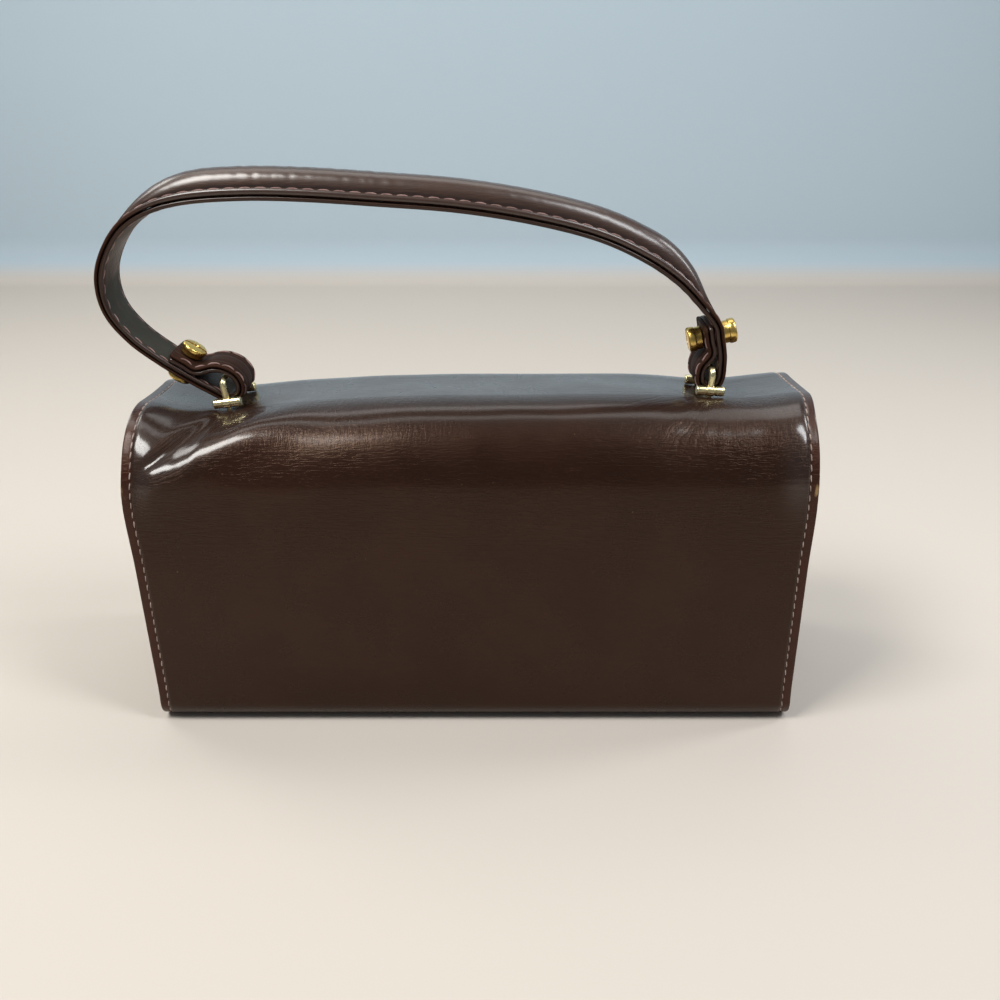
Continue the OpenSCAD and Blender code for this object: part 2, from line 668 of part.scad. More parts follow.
module strap_underside() {
    us = route_stations(0, last);
    w = strap_half;
    color(underside_grey) difference() {
        strap_layer(us, [for (u = us)
            [u, [[-w, -seat], [-w + edge_round, -seat], [w - edge_round, -seat], [w, -seat]]]],
            [for (u = us) [u, [[-w, edge_round - under_t], [-w + edge_round, -under_t],
                [w - edge_round, -under_t], [w, edge_round - under_t]]]]);
        stud_holes();
    }
}

// Studs: a frame in the middle of the folded strap, its axis midway between the two leathers
stud_stack = stack + tail_past * sin(splay);
grip = stud_stack / 2 + upper_t + crown_h * end_crown_share + stud_r * sin(splay / 2) + screw_gap;
module on_stud(place, side, lean) {
    axis = leaned(side, lean / 2);
    c = place + axis * stud_stack / 2;
    translate([c[0], 0, c[1]]) rotate([0, atan2(axis[0], axis[1]), 0]) children();
}
module on_left_stud() { on_stud(left_stud, left_side, splay) children(); }
module on_right_stud() { on_stud(right_stud, right_side, -splay) children(); }
module stud_holes() {
    on_left_stud() stud_hole();
    on_right_stud() stud_hole();
}
module stud_hole() {
    r = barrel_r + hole_gap;
    translate([0, 0, -grip]) cylinder(2 * grip, r, r, $fn = turned_fn);
}

// A stepped head that stands on z = 0: a lower step and a wider cap with two bevels
module stud_head() {
    rotate_extrude($fn = turned_fn) polygon([[0, 0], [stud_r - step_in, 0], [stud_r - step_in, stud_step],
        [stud_r - head_bevel, stud_step], [stud_r, stud_step + head_bevel],
        [stud_r, stud_step + stud_cap - head_bevel], [stud_r - head_bevel, stud_step + stud_cap],
        [0, stud_step + stud_cap]]);
}
module stud_post() {
    color(brass_gold) difference() {
        union() {
            translate([0, 0, -grip]) rotate([180, 0, 0]) stud_head();
            translate([0, 0, -grip]) cylinder(2 * grip - rest_gap, barrel_r, barrel_r, $fn = turned_fn);
        }
        thread_r = screw_r + screw_gap;
        translate([0, 0, -grip]) cylinder(2 * grip, thread_r, thread_r, $fn = turned_fn);
    }
}
module stud_screw() {
    color(brass_gold) translate([0, 0, grip]) {
        difference() {
            stud_head();
            translate([-2 * stud_r, -slot_w / 2, stud_step + stud_cap - slot_deep])
                cube([4 * stud_r, slot_w, slot_deep + cut_over]);
        }
        translate([0, 0, rest_gap - 2 * grip + rest_gap])
            cylinder(2 * grip - rest_gap, screw_r, screw_r, $fn = turned_fn);
    }
}
module stud_post_left() { on_left_stud() stud_post(); }
module stud_screw_left() { on_left_stud() stud_screw(); }
module stud_post_right() { on_right_stud() stud_post(); }
module stud_screw_right() { on_right_stud() stud_screw(); }

body_cover();
back_board();
bottom_board();
front_board();
body_lining();
gusset_left();
gusset_right();
gusset_lining_left();
gusset_lining_right();
mouth_binding();
slip_pocket();
pocket_welt();
snap_stud();
snap_stud_washer();
flap_cover();
roof_board();
flap_board();
flap_lining();
snap_socket();
snap_socket_washer();
staple_left();
staple_right();
saddle_bars_left();
saddle_bars_right();
leg_washers_left();
leg_washers_right();
strap_upper();
strap_core();
strap_underside();
stud_post_left();
stud_screw_left();
stud_post_right();
stud_screw_right();
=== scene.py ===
"""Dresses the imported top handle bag: leather, linings, stitched seams, padded strap and brass.

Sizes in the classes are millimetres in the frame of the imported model: X along the panels,
-Y out of the plain back, Z up, origin on the floor. Meshes are written in metres.
"""

import logging
from dataclasses import dataclass, field
from enum import Enum

import bpy
import numpy as np
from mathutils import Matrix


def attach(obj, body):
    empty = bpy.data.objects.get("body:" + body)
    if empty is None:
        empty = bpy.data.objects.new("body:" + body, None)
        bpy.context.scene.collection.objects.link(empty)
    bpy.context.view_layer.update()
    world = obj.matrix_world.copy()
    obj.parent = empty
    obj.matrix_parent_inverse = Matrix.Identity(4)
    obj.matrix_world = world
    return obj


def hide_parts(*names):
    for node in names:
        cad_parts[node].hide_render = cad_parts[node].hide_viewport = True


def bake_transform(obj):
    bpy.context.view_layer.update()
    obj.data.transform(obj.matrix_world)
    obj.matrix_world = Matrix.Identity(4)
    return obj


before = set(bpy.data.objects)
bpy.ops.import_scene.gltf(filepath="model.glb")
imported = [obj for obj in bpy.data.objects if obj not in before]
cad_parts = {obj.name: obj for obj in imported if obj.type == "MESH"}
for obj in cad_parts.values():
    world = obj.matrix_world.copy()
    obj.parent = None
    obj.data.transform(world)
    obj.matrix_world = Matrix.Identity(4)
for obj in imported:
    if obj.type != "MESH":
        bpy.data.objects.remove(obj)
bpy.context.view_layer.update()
LOG = logging.getLogger("bag")
MM = 0.001
NO_FLAP = 1000.0
BODY, FLAP, HANDLE = "body", "flap", "handle"

Array = np.ndarray
Object = bpy.types.Object
Material = bpy.types.Material
Socket = bpy.types.NodeSocket
Triple = tuple[float, float, float]
Number = Socket | float
Colour = Socket | Triple


class Slot(Enum):
    """The record's material slots, passed along with new pieces but read by no code."""

    LEATHER = "leather_brown"
    DARK = "leather_dark"
    STRAP_LINING = "strap_lining"
    LINING = "lining_tan"
    FELT = "felt_grey"
    PALE_BRASS = "brass_pale"
    GOLD_BRASS = "brass_gold"


# Numbers and small formulas


def ease(t: Array) -> Array:
    """Smooth step from 0 to 1: 3t^2 - 2t^3 on the clamped t."""
    c = np.clip(t, 0.0, 1.0)
    return c * c * (3.0 - 2.0 * c)


def bell(d: Array, spread: float) -> Array:
    """Bell curve of height 1: exp(-(d / spread)^2 / 2)."""
    return np.exp(-((np.asarray(d) / spread) ** 2) / 2.0)


def joined(*runs: Array) -> Array:
    """Stations of several runs, sorted, with near doubles taken out.

    Args:
        *runs: Places along a line.

    Returns:
        The places, rising.
    """
    values = np.unique(np.round(np.concatenate(runs), 5))
    keep = np.concatenate([[True], np.diff(values) > 1e-3])
    return values[keep]


def waves(x: Array, y: Array, seed: int, wavelength: float, count: int = 7) -> Array:
    """Smooth uneven surface: a mean of sine waves with seeded directions and phases.

    Args:
        x: First coordinate in millimetres.
        y: Second coordinate in millimetres.
        seed: Seed of the directions and phases.
        wavelength: Middle wavelength in millimetres.
        count: Number of waves.

    Returns:
        Heights between about -1 and 1, of the shape of x.
    """
    rng = np.random.default_rng(seed)
    total = np.zeros(np.broadcast(x, y).shape)
    for _ in range(count):
        angle, phase = rng.uniform(0, 2 * np.pi, 2)
        k = 2 * np.pi / (wavelength * rng.uniform(0.7, 1.5))
        total += np.sin(k * (x * np.cos(angle) + y * np.sin(angle)) + phase)
    return total / np.sqrt(count)


def unit(v: Array) -> Array:
    """Vector of length 1 in the direction of v."""
    return v / np.linalg.norm(v)


def turned(v: Array) -> Array:
    """Vector turned by a quarter, anticlockwise in X-Z."""
    return np.array([-v[1], v[0]])


def leaned(v: Array, degrees: float) -> Array:
    """Vector turned by an angle, anticlockwise in X-Z."""
    c, s = np.cos(np.radians(degrees)), np.sin(np.radians(degrees))
    return np.array([v[0] * c - v[1] * s, v[0] * s + v[1] * c])


def grid_of(x: Array, y: Array, z: Array) -> Array:
    """Points of a grid from coordinates whose shapes stretch to one another."""
    return np.stack(np.broadcast_arrays(x, y, z), -1)


def run_of(points: Array) -> Array:
    """Length along a line of points, from its first point to each."""
    return np.concatenate([[0], np.cumsum(np.linalg.norm(np.diff(points, axis=0), axis=1))])


def squared(out: Array, way: Array) -> Array:
    """Directions of out made square to those of way: out - (out . way) way, at length 1."""
    out = out - np.einsum("ij,ij->i", out, way)[:, None] * way
    return out / np.linalg.norm(out, axis=1)[:, None]


# Meshes


def write_mesh(name: str, points: Array, quads: Array, tris: Array,
               attributes: dict[str, Array], sharp_deg: float) -> Object:
    """Puts computed points and faces into a new mesh object, with its faces turned outwards.

    Args:
        name: Name of the object.
        points: Vertices in millimetres, shape (n, 3).
        quads: Four vertex numbers per face.
        tris: Three vertex numbers per face.
        attributes: Float values per vertex, by name.
        sharp_deg: Edges that bend by more than this stay sharp.

    Returns:
        The new object, linked to the scene.
    """
    corners = np.concatenate([quads[:, [0, 1, 2]], quads[:, [0, 2, 3]], tris]) if len(quads) else tris
    a, b, c = points[corners[:, 0]], points[corners[:, 1]], points[corners[:, 2]]
    if np.einsum("ij,ij->i", a, np.cross(b, c)).sum() < 0:
        quads, tris = quads[:, ::-1], tris[:, ::-1]
    loops = np.concatenate([quads.ravel(), tris.ravel()]).astype(np.int32)
    totals = np.concatenate([np.full(len(quads), 4), np.full(len(tris), 3)]).astype(np.int32)
    mesh = bpy.data.meshes.new(name)
    mesh.vertices.add(len(points))
    mesh.vertices.foreach_set("co", (points * MM).astype(np.float32).ravel())
    mesh.loops.add(len(loops))
    mesh.loops.foreach_set("vertex_index", loops)
    mesh.polygons.add(len(totals))
    mesh.polygons.foreach_set("loop_start", np.concatenate([[0], np.cumsum(totals)[:-1]]).astype(np.int32))
    mesh.update(calc_edges=True)
    mesh.validate()
    for key, values in attributes.items():
        mesh.attributes.new(key, "FLOAT", "POINT").data.foreach_set("value", values.astype(np.float32).ravel())
    mesh.shade_smooth()
    mesh.set_sharp_from_angle(angle=np.radians(sharp_deg))
    obj = bpy.data.objects.new(name, mesh)
    bpy.context.scene.collection.objects.link(obj)
    return obj


def grid_faces(rows: int, cols: int, start: int = 0, closed: bool = False) -> Array:
    """Quads of a grid of vertices, row by row.

    Args:
        rows: Rows of vertices.
        cols: Columns of vertices.
        start: Number of the first vertex.
        closed: Joins the last column to the first.

    Returns:
        Four vertex numbers per face.
    """
    span = cols if closed else cols - 1
    i, j = np.meshgrid(np.arange(rows - 1), np.arange(span), indexing="ij")
    k = (j + 1) % cols
    return np.stack([i * cols + j, i * cols + k, (i + 1) * cols + k, (i + 1) * cols + j], -1).reshape(-1, 4) + start


def shell(name: str, outer: Array, inner: Array, attributes: dict[str, Array] | None = None,
          sharp_deg: float = 50.0) -> Object:
    """Closed sheet between two like grids of points, with its rims closed all round.

    Args:
        name: Name of the object.
        outer: Points of the seen side, shape (rows, cols, 3).
        inner: Points of the other side, same shape.
        attributes: Values per grid point, used on both sides.
        sharp_deg: Edges that bend by more than this stay sharp.

    Returns:
        The new object.
    """
    rows, cols = outer.shape[:2]
    n = rows * cols
    far = grid_faces(rows, cols, n)[:, ::-1]
    ids = np.arange(n).reshape(rows, cols)
    loop = np.concatenate([ids[0, :-1], ids[:-1, -1], ids[-1, :0:-1], ids[:0:-1, 0]])
    after = np.roll(loop, -1)
    rim = np.stack([after, loop, loop + n, after + n], 1)
    points = np.concatenate([outer.reshape(-1, 3), inner.reshape(-1, 3)])
    both = {key: np.concatenate([v.ravel(), v.ravel()]) for key, v in (attributes or {}).items()}
    quads = np.concatenate([grid_faces(rows, cols), far, rim])
    return write_mesh(name, points, quads, np.zeros((0, 3), int), both, sharp_deg)


def tube(name: str, rings: Array, sharp_deg: float = 50.0) -> Object:
    """Closed rings joined along a path, shape (stations, points in a ring, 3), its ends closed."""
    return write_mesh(name, *tube_parts(rings), {}, sharp_deg)


def tube_parts(rings: Array) -> tuple[Array, Array, Array]:
    """Points, quads and end triangles of a closed tube of rings.

    Args:
        rings: Rings along the path, shape (stations, points in a ring, 3).

    Returns:
        Points with the middles of both ends added last, quads, and the triangles of the ends.
    """
    n, m = rings.shape[:2]
    points = np.concatenate([rings.reshape(-1, 3), rings[0].mean(0)[None], rings[-1].mean(0)[None]])
    k = np.arange(m)
    first = np.stack([np.full(m, n * m), (k + 1) % m, k], 1)
    last = np.stack([np.full(m, n * m + 1), (n - 1) * m + k, (n - 1) * m + (k + 1) % m], 1)
    return points, grid_faces(n, m, closed=True), np.concatenate([first, last])


def many_tubes(name: str, rings: Array, sharp_deg: float = 60.0) -> Object:
    """Makes one object of many like tubes.

    Args:
        name: Name of the object.
        rings: Rings of all tubes, shape (tubes, stations, points in a ring, 3).
        sharp_deg: Edges that bend by more than this stay sharp.

    Returns:
        The new object.
    """
    parts = [tube_parts(one) for one in rings]
    size = len(parts[0][0])
    offsets = np.arange(len(parts)) * size
    points = np.concatenate([p[0] for p in parts])
    quads = np.concatenate([p[1] + o for p, o in zip(parts, offsets)])
    tris = np.concatenate([p[2] + o for p, o in zip(parts, offsets)])
    return write_mesh(name, points, quads, tris, {}, sharp_deg)


def lathe(profile: Array, origin: Array, axis: Array, sides: int = 64) -> Array:
    """Rings of a turned form.

    Each ring is origin + h * axis + r * (cos a * u + sin a * w), with u and w square to the axis.

    Args:
        profile: Radius and height pairs, shape (n, 2).
        origin: Point on the axis at height 0.
        axis: Direction of the axis.
        sides: Points in a ring.

    Returns:
        Rings, shape (n, sides, 3).
    """
    axis = axis / np.linalg.norm(axis)
    u = np.cross(axis, [0.0, 1.0, 0.0] if abs(axis[1]) < 0.9 else [1.0, 0.0, 0.0])
    u = u / np.linalg.norm(u)
    w = np.cross(axis, u)
    a = np.arange(sides) * 2 * np.pi / sides
    circle = np.cos(a)[:, None] * u + np.sin(a)[:, None] * w
    return origin + profile[:, 1, None, None] * axis + profile[:, 0, None, None] * circle


def stitch_rings(centre: Array, along: Array, out: Array, length: float, radius: float,
                 slant_deg: float, bow: float = 0.0) -> Array:
    """Rings of many short stitches that rise out of the leather and sink in again at both ends.

    At t from -1 to 1 a ring stands at centre + t * length / 2 * along + bow * (1 - t^2) * across
    + radius * (0.5 - 1.5 t^4) * out and has the radius radius * (1 - 0.6 t^4).

    Args:
        centre: Middle of each stitch on the leather, shape (n, 3).
        along: Direction of the seam at each stitch.
        out: Direction out of the leather at each stitch.
        length: Length of a stitch.
        radius: Radius of the thread.
        slant_deg: Turn of each stitch in the plane of the leather.
        bow: How far the middle of each stitch stands aside.

    Returns:
        Rings, shape (n, 7, 6, 3).
    """
    side = np.cross(out, along)
    s = np.radians(slant_deg)
    way = np.cos(s) * along + np.sin(s) * side
    across = np.cross(out, way)
    t = np.array([-1.0, -0.78, -0.4, 0.0, 0.4, 0.78, 1.0])
    a = np.arange(6) * np.pi / 3
    mid = (centre[:, None] + t[None, :, None] * length / 2 * way[:, None]
           + bow * (1 - t ** 2)[None, :, None] * across[:, None]
           + radius * (0.5 - 1.5 * t ** 4)[None, :, None] * out[:, None])
    r = radius * (1 - 0.6 * t ** 4)
    ring = np.cos(a)[:, None] * across[:, None, None] + np.sin(a)[:, None] * out[:, None, None]
    return mid[:, :, None] + r[None, :, None, None] * ring


def spaced(points: Array, pitch: float) -> tuple[Array, Array, Array]:
    """Evenly spaced places on a line of points.

    Args:
        points: Points of the line, shape (n, 3).
        pitch: Distance between the places.

    Returns:
        The places, the directions of the line there, and the places' numbers along points.
    """
    run = run_of(points)
    count = max(int(run[-1] / pitch), 1)
    at = (np.arange(count) + 0.5) * run[-1] / count
    behind, place, ahead = (np.stack([np.interp(at + shift, run, points[:, k]) for k in range(3)], 1)
                            for shift in (-pitch / 4, 0, pitch / 4))
    way = ahead - behind
    return place, way / np.linalg.norm(way, axis=1)[:, None], np.interp(at, run, np.arange(len(points)))


def dress(obj: Object, material: Material) -> Object:
    """Gives a piece its only material.

    Args:
        obj: The piece.
        material: Its material.

    Returns:
        The piece.
    """
    obj.data.materials.clear()
    obj.data.materials.append(material)
    LOG.info("made %s", obj.name)
    return obj


def mount(obj: Object, material: Material, slot: Slot | None, body: str,
          *nodes: str) -> Object:
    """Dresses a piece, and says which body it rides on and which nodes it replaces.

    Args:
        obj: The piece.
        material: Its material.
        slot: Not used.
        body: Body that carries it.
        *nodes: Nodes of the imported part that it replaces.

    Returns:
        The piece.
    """
    dress(obj, material)
    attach(obj, body)
    if nodes:
        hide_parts(*nodes)
    return obj


# The bag's form


@dataclass(frozen=True)
class BagSize:
    """Sizes of the boxed body and its flap, in millimetres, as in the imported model."""

    half_w: float = 110.0
    back_y: float = -38.0
    flap_y: float = 38.0
    front_y: float = 31.6
    crease_z: float = 87.3
    front_centre_z: float = 85.5
    shoulder_r: float = 26.0
    roof_half: float = 12.0
    roof_fall: float = 1.8
    bottom_r: float = 8.0
    flap_low: float = 17.0
    join_y: float = 20.0
    mouth_z: float = 85.3
    cover_t: float = 1.6
    board_t: float = 1.2
    lining_t: float = 0.8
    gusset_t: float = 1.2
    seat: float = 0.1
    seam_w: float = 3.4
    seam_drop: float = 0.35
    stitch_in: float = 3.0
    stitch_pitch: float = 3.3
    flange_w: float = 6.0
    flange_inset: float = 0.4
    gusset_fold: float = 9.0
    lining_hang: float = 2.5

    @property
    def cover_in(self) -> float:
        """Depth of the boards' outer face below the outside of the leather."""
        return self.cover_t + self.seat

    @property
    def stack(self) -> float:
        """Thickness of leather, board and lining with their seats."""
        return self.cover_in + self.board_t + self.seat + self.lining_t

    @property
    def mid_y(self) -> float:
        """Middle between the back and the front panel."""
        return (self.back_y + self.front_y) / 2


@dataclass(frozen=True)
class Wear:
    """Sinking, dents and folds of the used bag, in millimetres."""

    left_sink: float = 3.4
    sink_at: float = -81.5
    sink_w: float = 30.0
    crown_sag: float = 1.3
    left_dent: float = 3.9
    left_at: tuple[float, float] = (-91.0, 1.0)
    left_spread: tuple[float, float] = (13.0, 20.0)
    right_dent: float = 3.5
    right_at: tuple[float, float] = (83.5, 8.0)
    right_spread: tuple[float, float] = (14.0, 17.0)
    left_in: float = -1.3
    left_in_top: float = -0.2
    right_in: float = -0.9
    right_in_top: float = -1.4
    waist_in: float = 0.4
    waist_low: float = 15.0
    waist_high: float = 60.0
    waist_soft: float = 20.0
    bend_under: float = 7.0
    bend_soft: float = 18.0
    fade_from: float = -25.0
    fade_soft: float = 30.0
    over_from: float = -29.0
    over_soft: float = 20.0
    left_from: float = -40.0
    left_soft: float = 70.0
    right_from: float = 60.0
    right_soft: float = 50.0


@dataclass(frozen=True)
class RoofForm:
    """Outline of the bag across its depth, and how far the worn roof lies below the new one."""

    size: BagSize = field(default_factory=BagSize)
    wear: Wear = field(default_factory=Wear)

    def drop(self, x: Array, y: Array) -> Array:
        """Depth of the worn roof below the new one at x and y."""
        w, s = self.wear, self.size
        return (w.left_sink * bell(x - w.sink_at, w.sink_w)
                + w.crown_sag * (1 - (x / s.half_w) ** 2)
                + w.left_dent * bell(x - w.left_at[0], w.left_spread[0]) * bell(y - w.left_at[1], w.left_spread[1])
                + w.right_dent * bell(x - w.right_at[0], w.right_spread[0])
                * bell(y - w.right_at[1], w.right_spread[1]))

    def roof_z(self, x: float, y: float) -> float:
        """Height of the worn roof between its shoulders: a plane that falls to the front, less the drop.

        Args:
            x: Place along the panels.
            y: Place across the depth.

        Returns:
            Height of the leather above the floor.
        """
        s = self.size
        level = s.crease_z + s.shoulder_r - s.roof_fall * (y + s.roof_half) / (2 * s.roof_half)
        return float(level - self.drop(np.asarray(x, float), np.asarray(y, float)))

    def body_run(self, depth: float, front_top: float, step: float) -> list[tuple[Array, ...]]:
        """Parts of the body's outline from the front panel's top down, under and up the back.

        Args:
            depth: Depth below the outside of the leather.
            front_top: Height at which the front part starts.
            step: Wanted distance of the stations on the panels.

        Returns:
            Parts (y, z, share of the drop, ny, nz): front with its fold, bottom, back fold, back.
        """
        s = self.size
        back, front, r = s.back_y, s.front_y, s.bottom_r
        t = np.linspace(0, 1, max(int((front_top - r) / step), 2))[:-1]
        panel = (0 * t + front - depth, front_top + (r - front_top) * t, 0 * t, 0 * t + 1, 0 * t)
        a = np.radians(np.linspace(0, 90, 13))[:-1]
        fold = (front - r + (r - depth) * np.cos(a), r - (r - depth) * np.sin(a), 0 * a, np.cos(a), -np.sin(a))
        t = np.linspace(0, 1, 19)[:-1]
        flat = (front - r - (front - back - 2 * r) * t, 0 * t + depth, 0 * t, 0 * t, 0 * t - 1)
        a = np.radians(np.linspace(90, 0, 17))[:-1]
        far = (back + r - (r - depth) * np.cos(a), r - (r - depth) * np.sin(a), 0 * a, -np.cos(a), -np.sin(a))
        t = np.linspace(0, 1, int((s.crease_z - r) / step))[:-1] ** 0.85
        rear = (0 * t + back + depth, r + (s.crease_z - r) * t, 0 * t, 0 * t - 1, 0 * t)
        return [panel, fold, flat, far, rear]

    def flap_run(self, depth: float, step: float) -> list[tuple[Array, ...]]:
        """Parts of the flap's outline from the crease over the roof and down the front.

        Arcs have their angle a: (cy - r cos a, cz + r sin a).

        Args:
            depth: Depth below the outside of the leather.
            step: Wanted distance of the stations on the back shoulder and the roof.

        Returns:
            Parts (y, z, share of the drop, ny, nz): back shoulder, roof, front shoulder, front.
        """
        s = self.size
        r = s.shoulder_r - depth
        a = np.linspace(0, np.pi / 2, int(s.shoulder_r * np.pi / 2 / step))[:-1]
        rise = (-s.roof_half - r * np.cos(a), s.crease_z + r * np.sin(a), np.sin(np.pi / 2 * np.sin(a)),
                -np.cos(a), np.sin(a))
        t = np.linspace(0, 1, int(2 * s.roof_half / step))[:-1]
        level = s.crease_z + (s.front_centre_z - s.crease_z) * t
        roof = (-s.roof_half + 2 * s.roof_half * t, level + r, 0 * t + 1, 0 * t, 0 * t + 1)
        a = np.linspace(np.pi / 2, 0, int(s.shoulder_r * np.pi / 2 / (2 * step)))[:-1]
        fall = (s.roof_half + r * np.cos(a), s.front_centre_z + r * np.sin(a), np.sin(np.pi / 2 * np.sin(a)),
                np.cos(a), np.sin(a))
        t = np.linspace(0, 1, int((s.front_centre_z - s.flap_low) / (3.4 * step)))
        front = (0 * t + s.flap_y - depth, s.front_centre_z + (s.flap_low - s.front_centre_z) * t,
                 0 * t, 0 * t + 1, 0 * t)
        return [rise, roof, fall, front]

    @staticmethod
    def outline(parts: list[tuple[Array, ...]]) -> dict[str, Array]:
        """Joins parts of an outline and adds the length along it as run.

        Args:
            parts: Arrays y, z, share, ny and nz of each part.

        Returns:
            The joined arrays by name, with run.
        """
        y, z, share, ny, nz = (np.concatenate([part[k] for part in parts]) for k in range(5))
        run = np.concatenate([[0], np.cumsum(np.hypot(np.diff(y), np.diff(z)))])
        return {"y": y, "z": z, "share": share, "ny": ny, "nz": nz, "run": run}

    def flare(self, x: Array, y: Array, z: Array) -> Array:
        """Sideways shift of the leather's ends as the worn bag bends, gone over the roof.

        Each side moves by its value below the crease, eased into its value at the top, and by
        the waist between its low and high places; all of it fades from the back to the middle.

        Args:
            x: Places along the panels.
            y: Places across the depth.
            z: Heights.

        Returns:
            Shift along X, of the arguments' common shape.
        """
        s, w = self.size, self.wear
        low = np.clip(z / s.crease_z, 0, 1)
        above = ease((z - s.crease_z + w.bend_under) / w.bend_soft)
        waist = w.waist_in * ease(z / w.waist_low) * (1 - ease((z - w.waist_high) / w.waist_soft))
        fade = 1 - ease((y - w.fade_from) / w.fade_soft)
        left = low * (w.left_in + (w.left_in_top - w.left_in) * above) + waist
        over = w.right_in_top * (1 - ease((y - w.over_from) / w.over_soft))
        right = low * w.right_in * (1 - above) + over * above - waist
        left = left * ease((w.left_from - x) / w.left_soft)
        right = right * ease((x - w.right_from) / w.right_soft)
        return (left + right) * fade

    def place(self, x: Array, line: dict[str, Array], height: Array | float = 0.0,
              hang: float = 0.0) -> Array:
        """Points of a sheet at the stations x along the panels and the stations of an outline.

        Args:
            x: Places along the panels, shape (rows,).
            line: Outline with cols stations.
            height: Height along the outline's normal, shape (rows, cols).
            hang: Further drop of the roof's part.

        Returns:
            Points, shape (rows, cols, 3).
        """
        xx, yy = x[:, None], line["y"][None]
        zz = line["z"] - line["share"] * (self.drop(xx, yy) + hang)
        return grid_of(xx + self.flare(xx, yy, zz), yy + line["ny"] * height, zz + line["nz"] * height)


@dataclass(frozen=True)
class Spot:
    """Place on the leather: along the panel and above the crease, with its spread both ways."""

    x: float
    up: float
    wide: float
    tall: float

    def at(self, x: Array, upper: Array) -> Array:
        """Product of a bell curve each way, 1 in the middle of the spot."""
        return bell(x - self.x, self.wide) * bell(upper - self.up, self.tall)


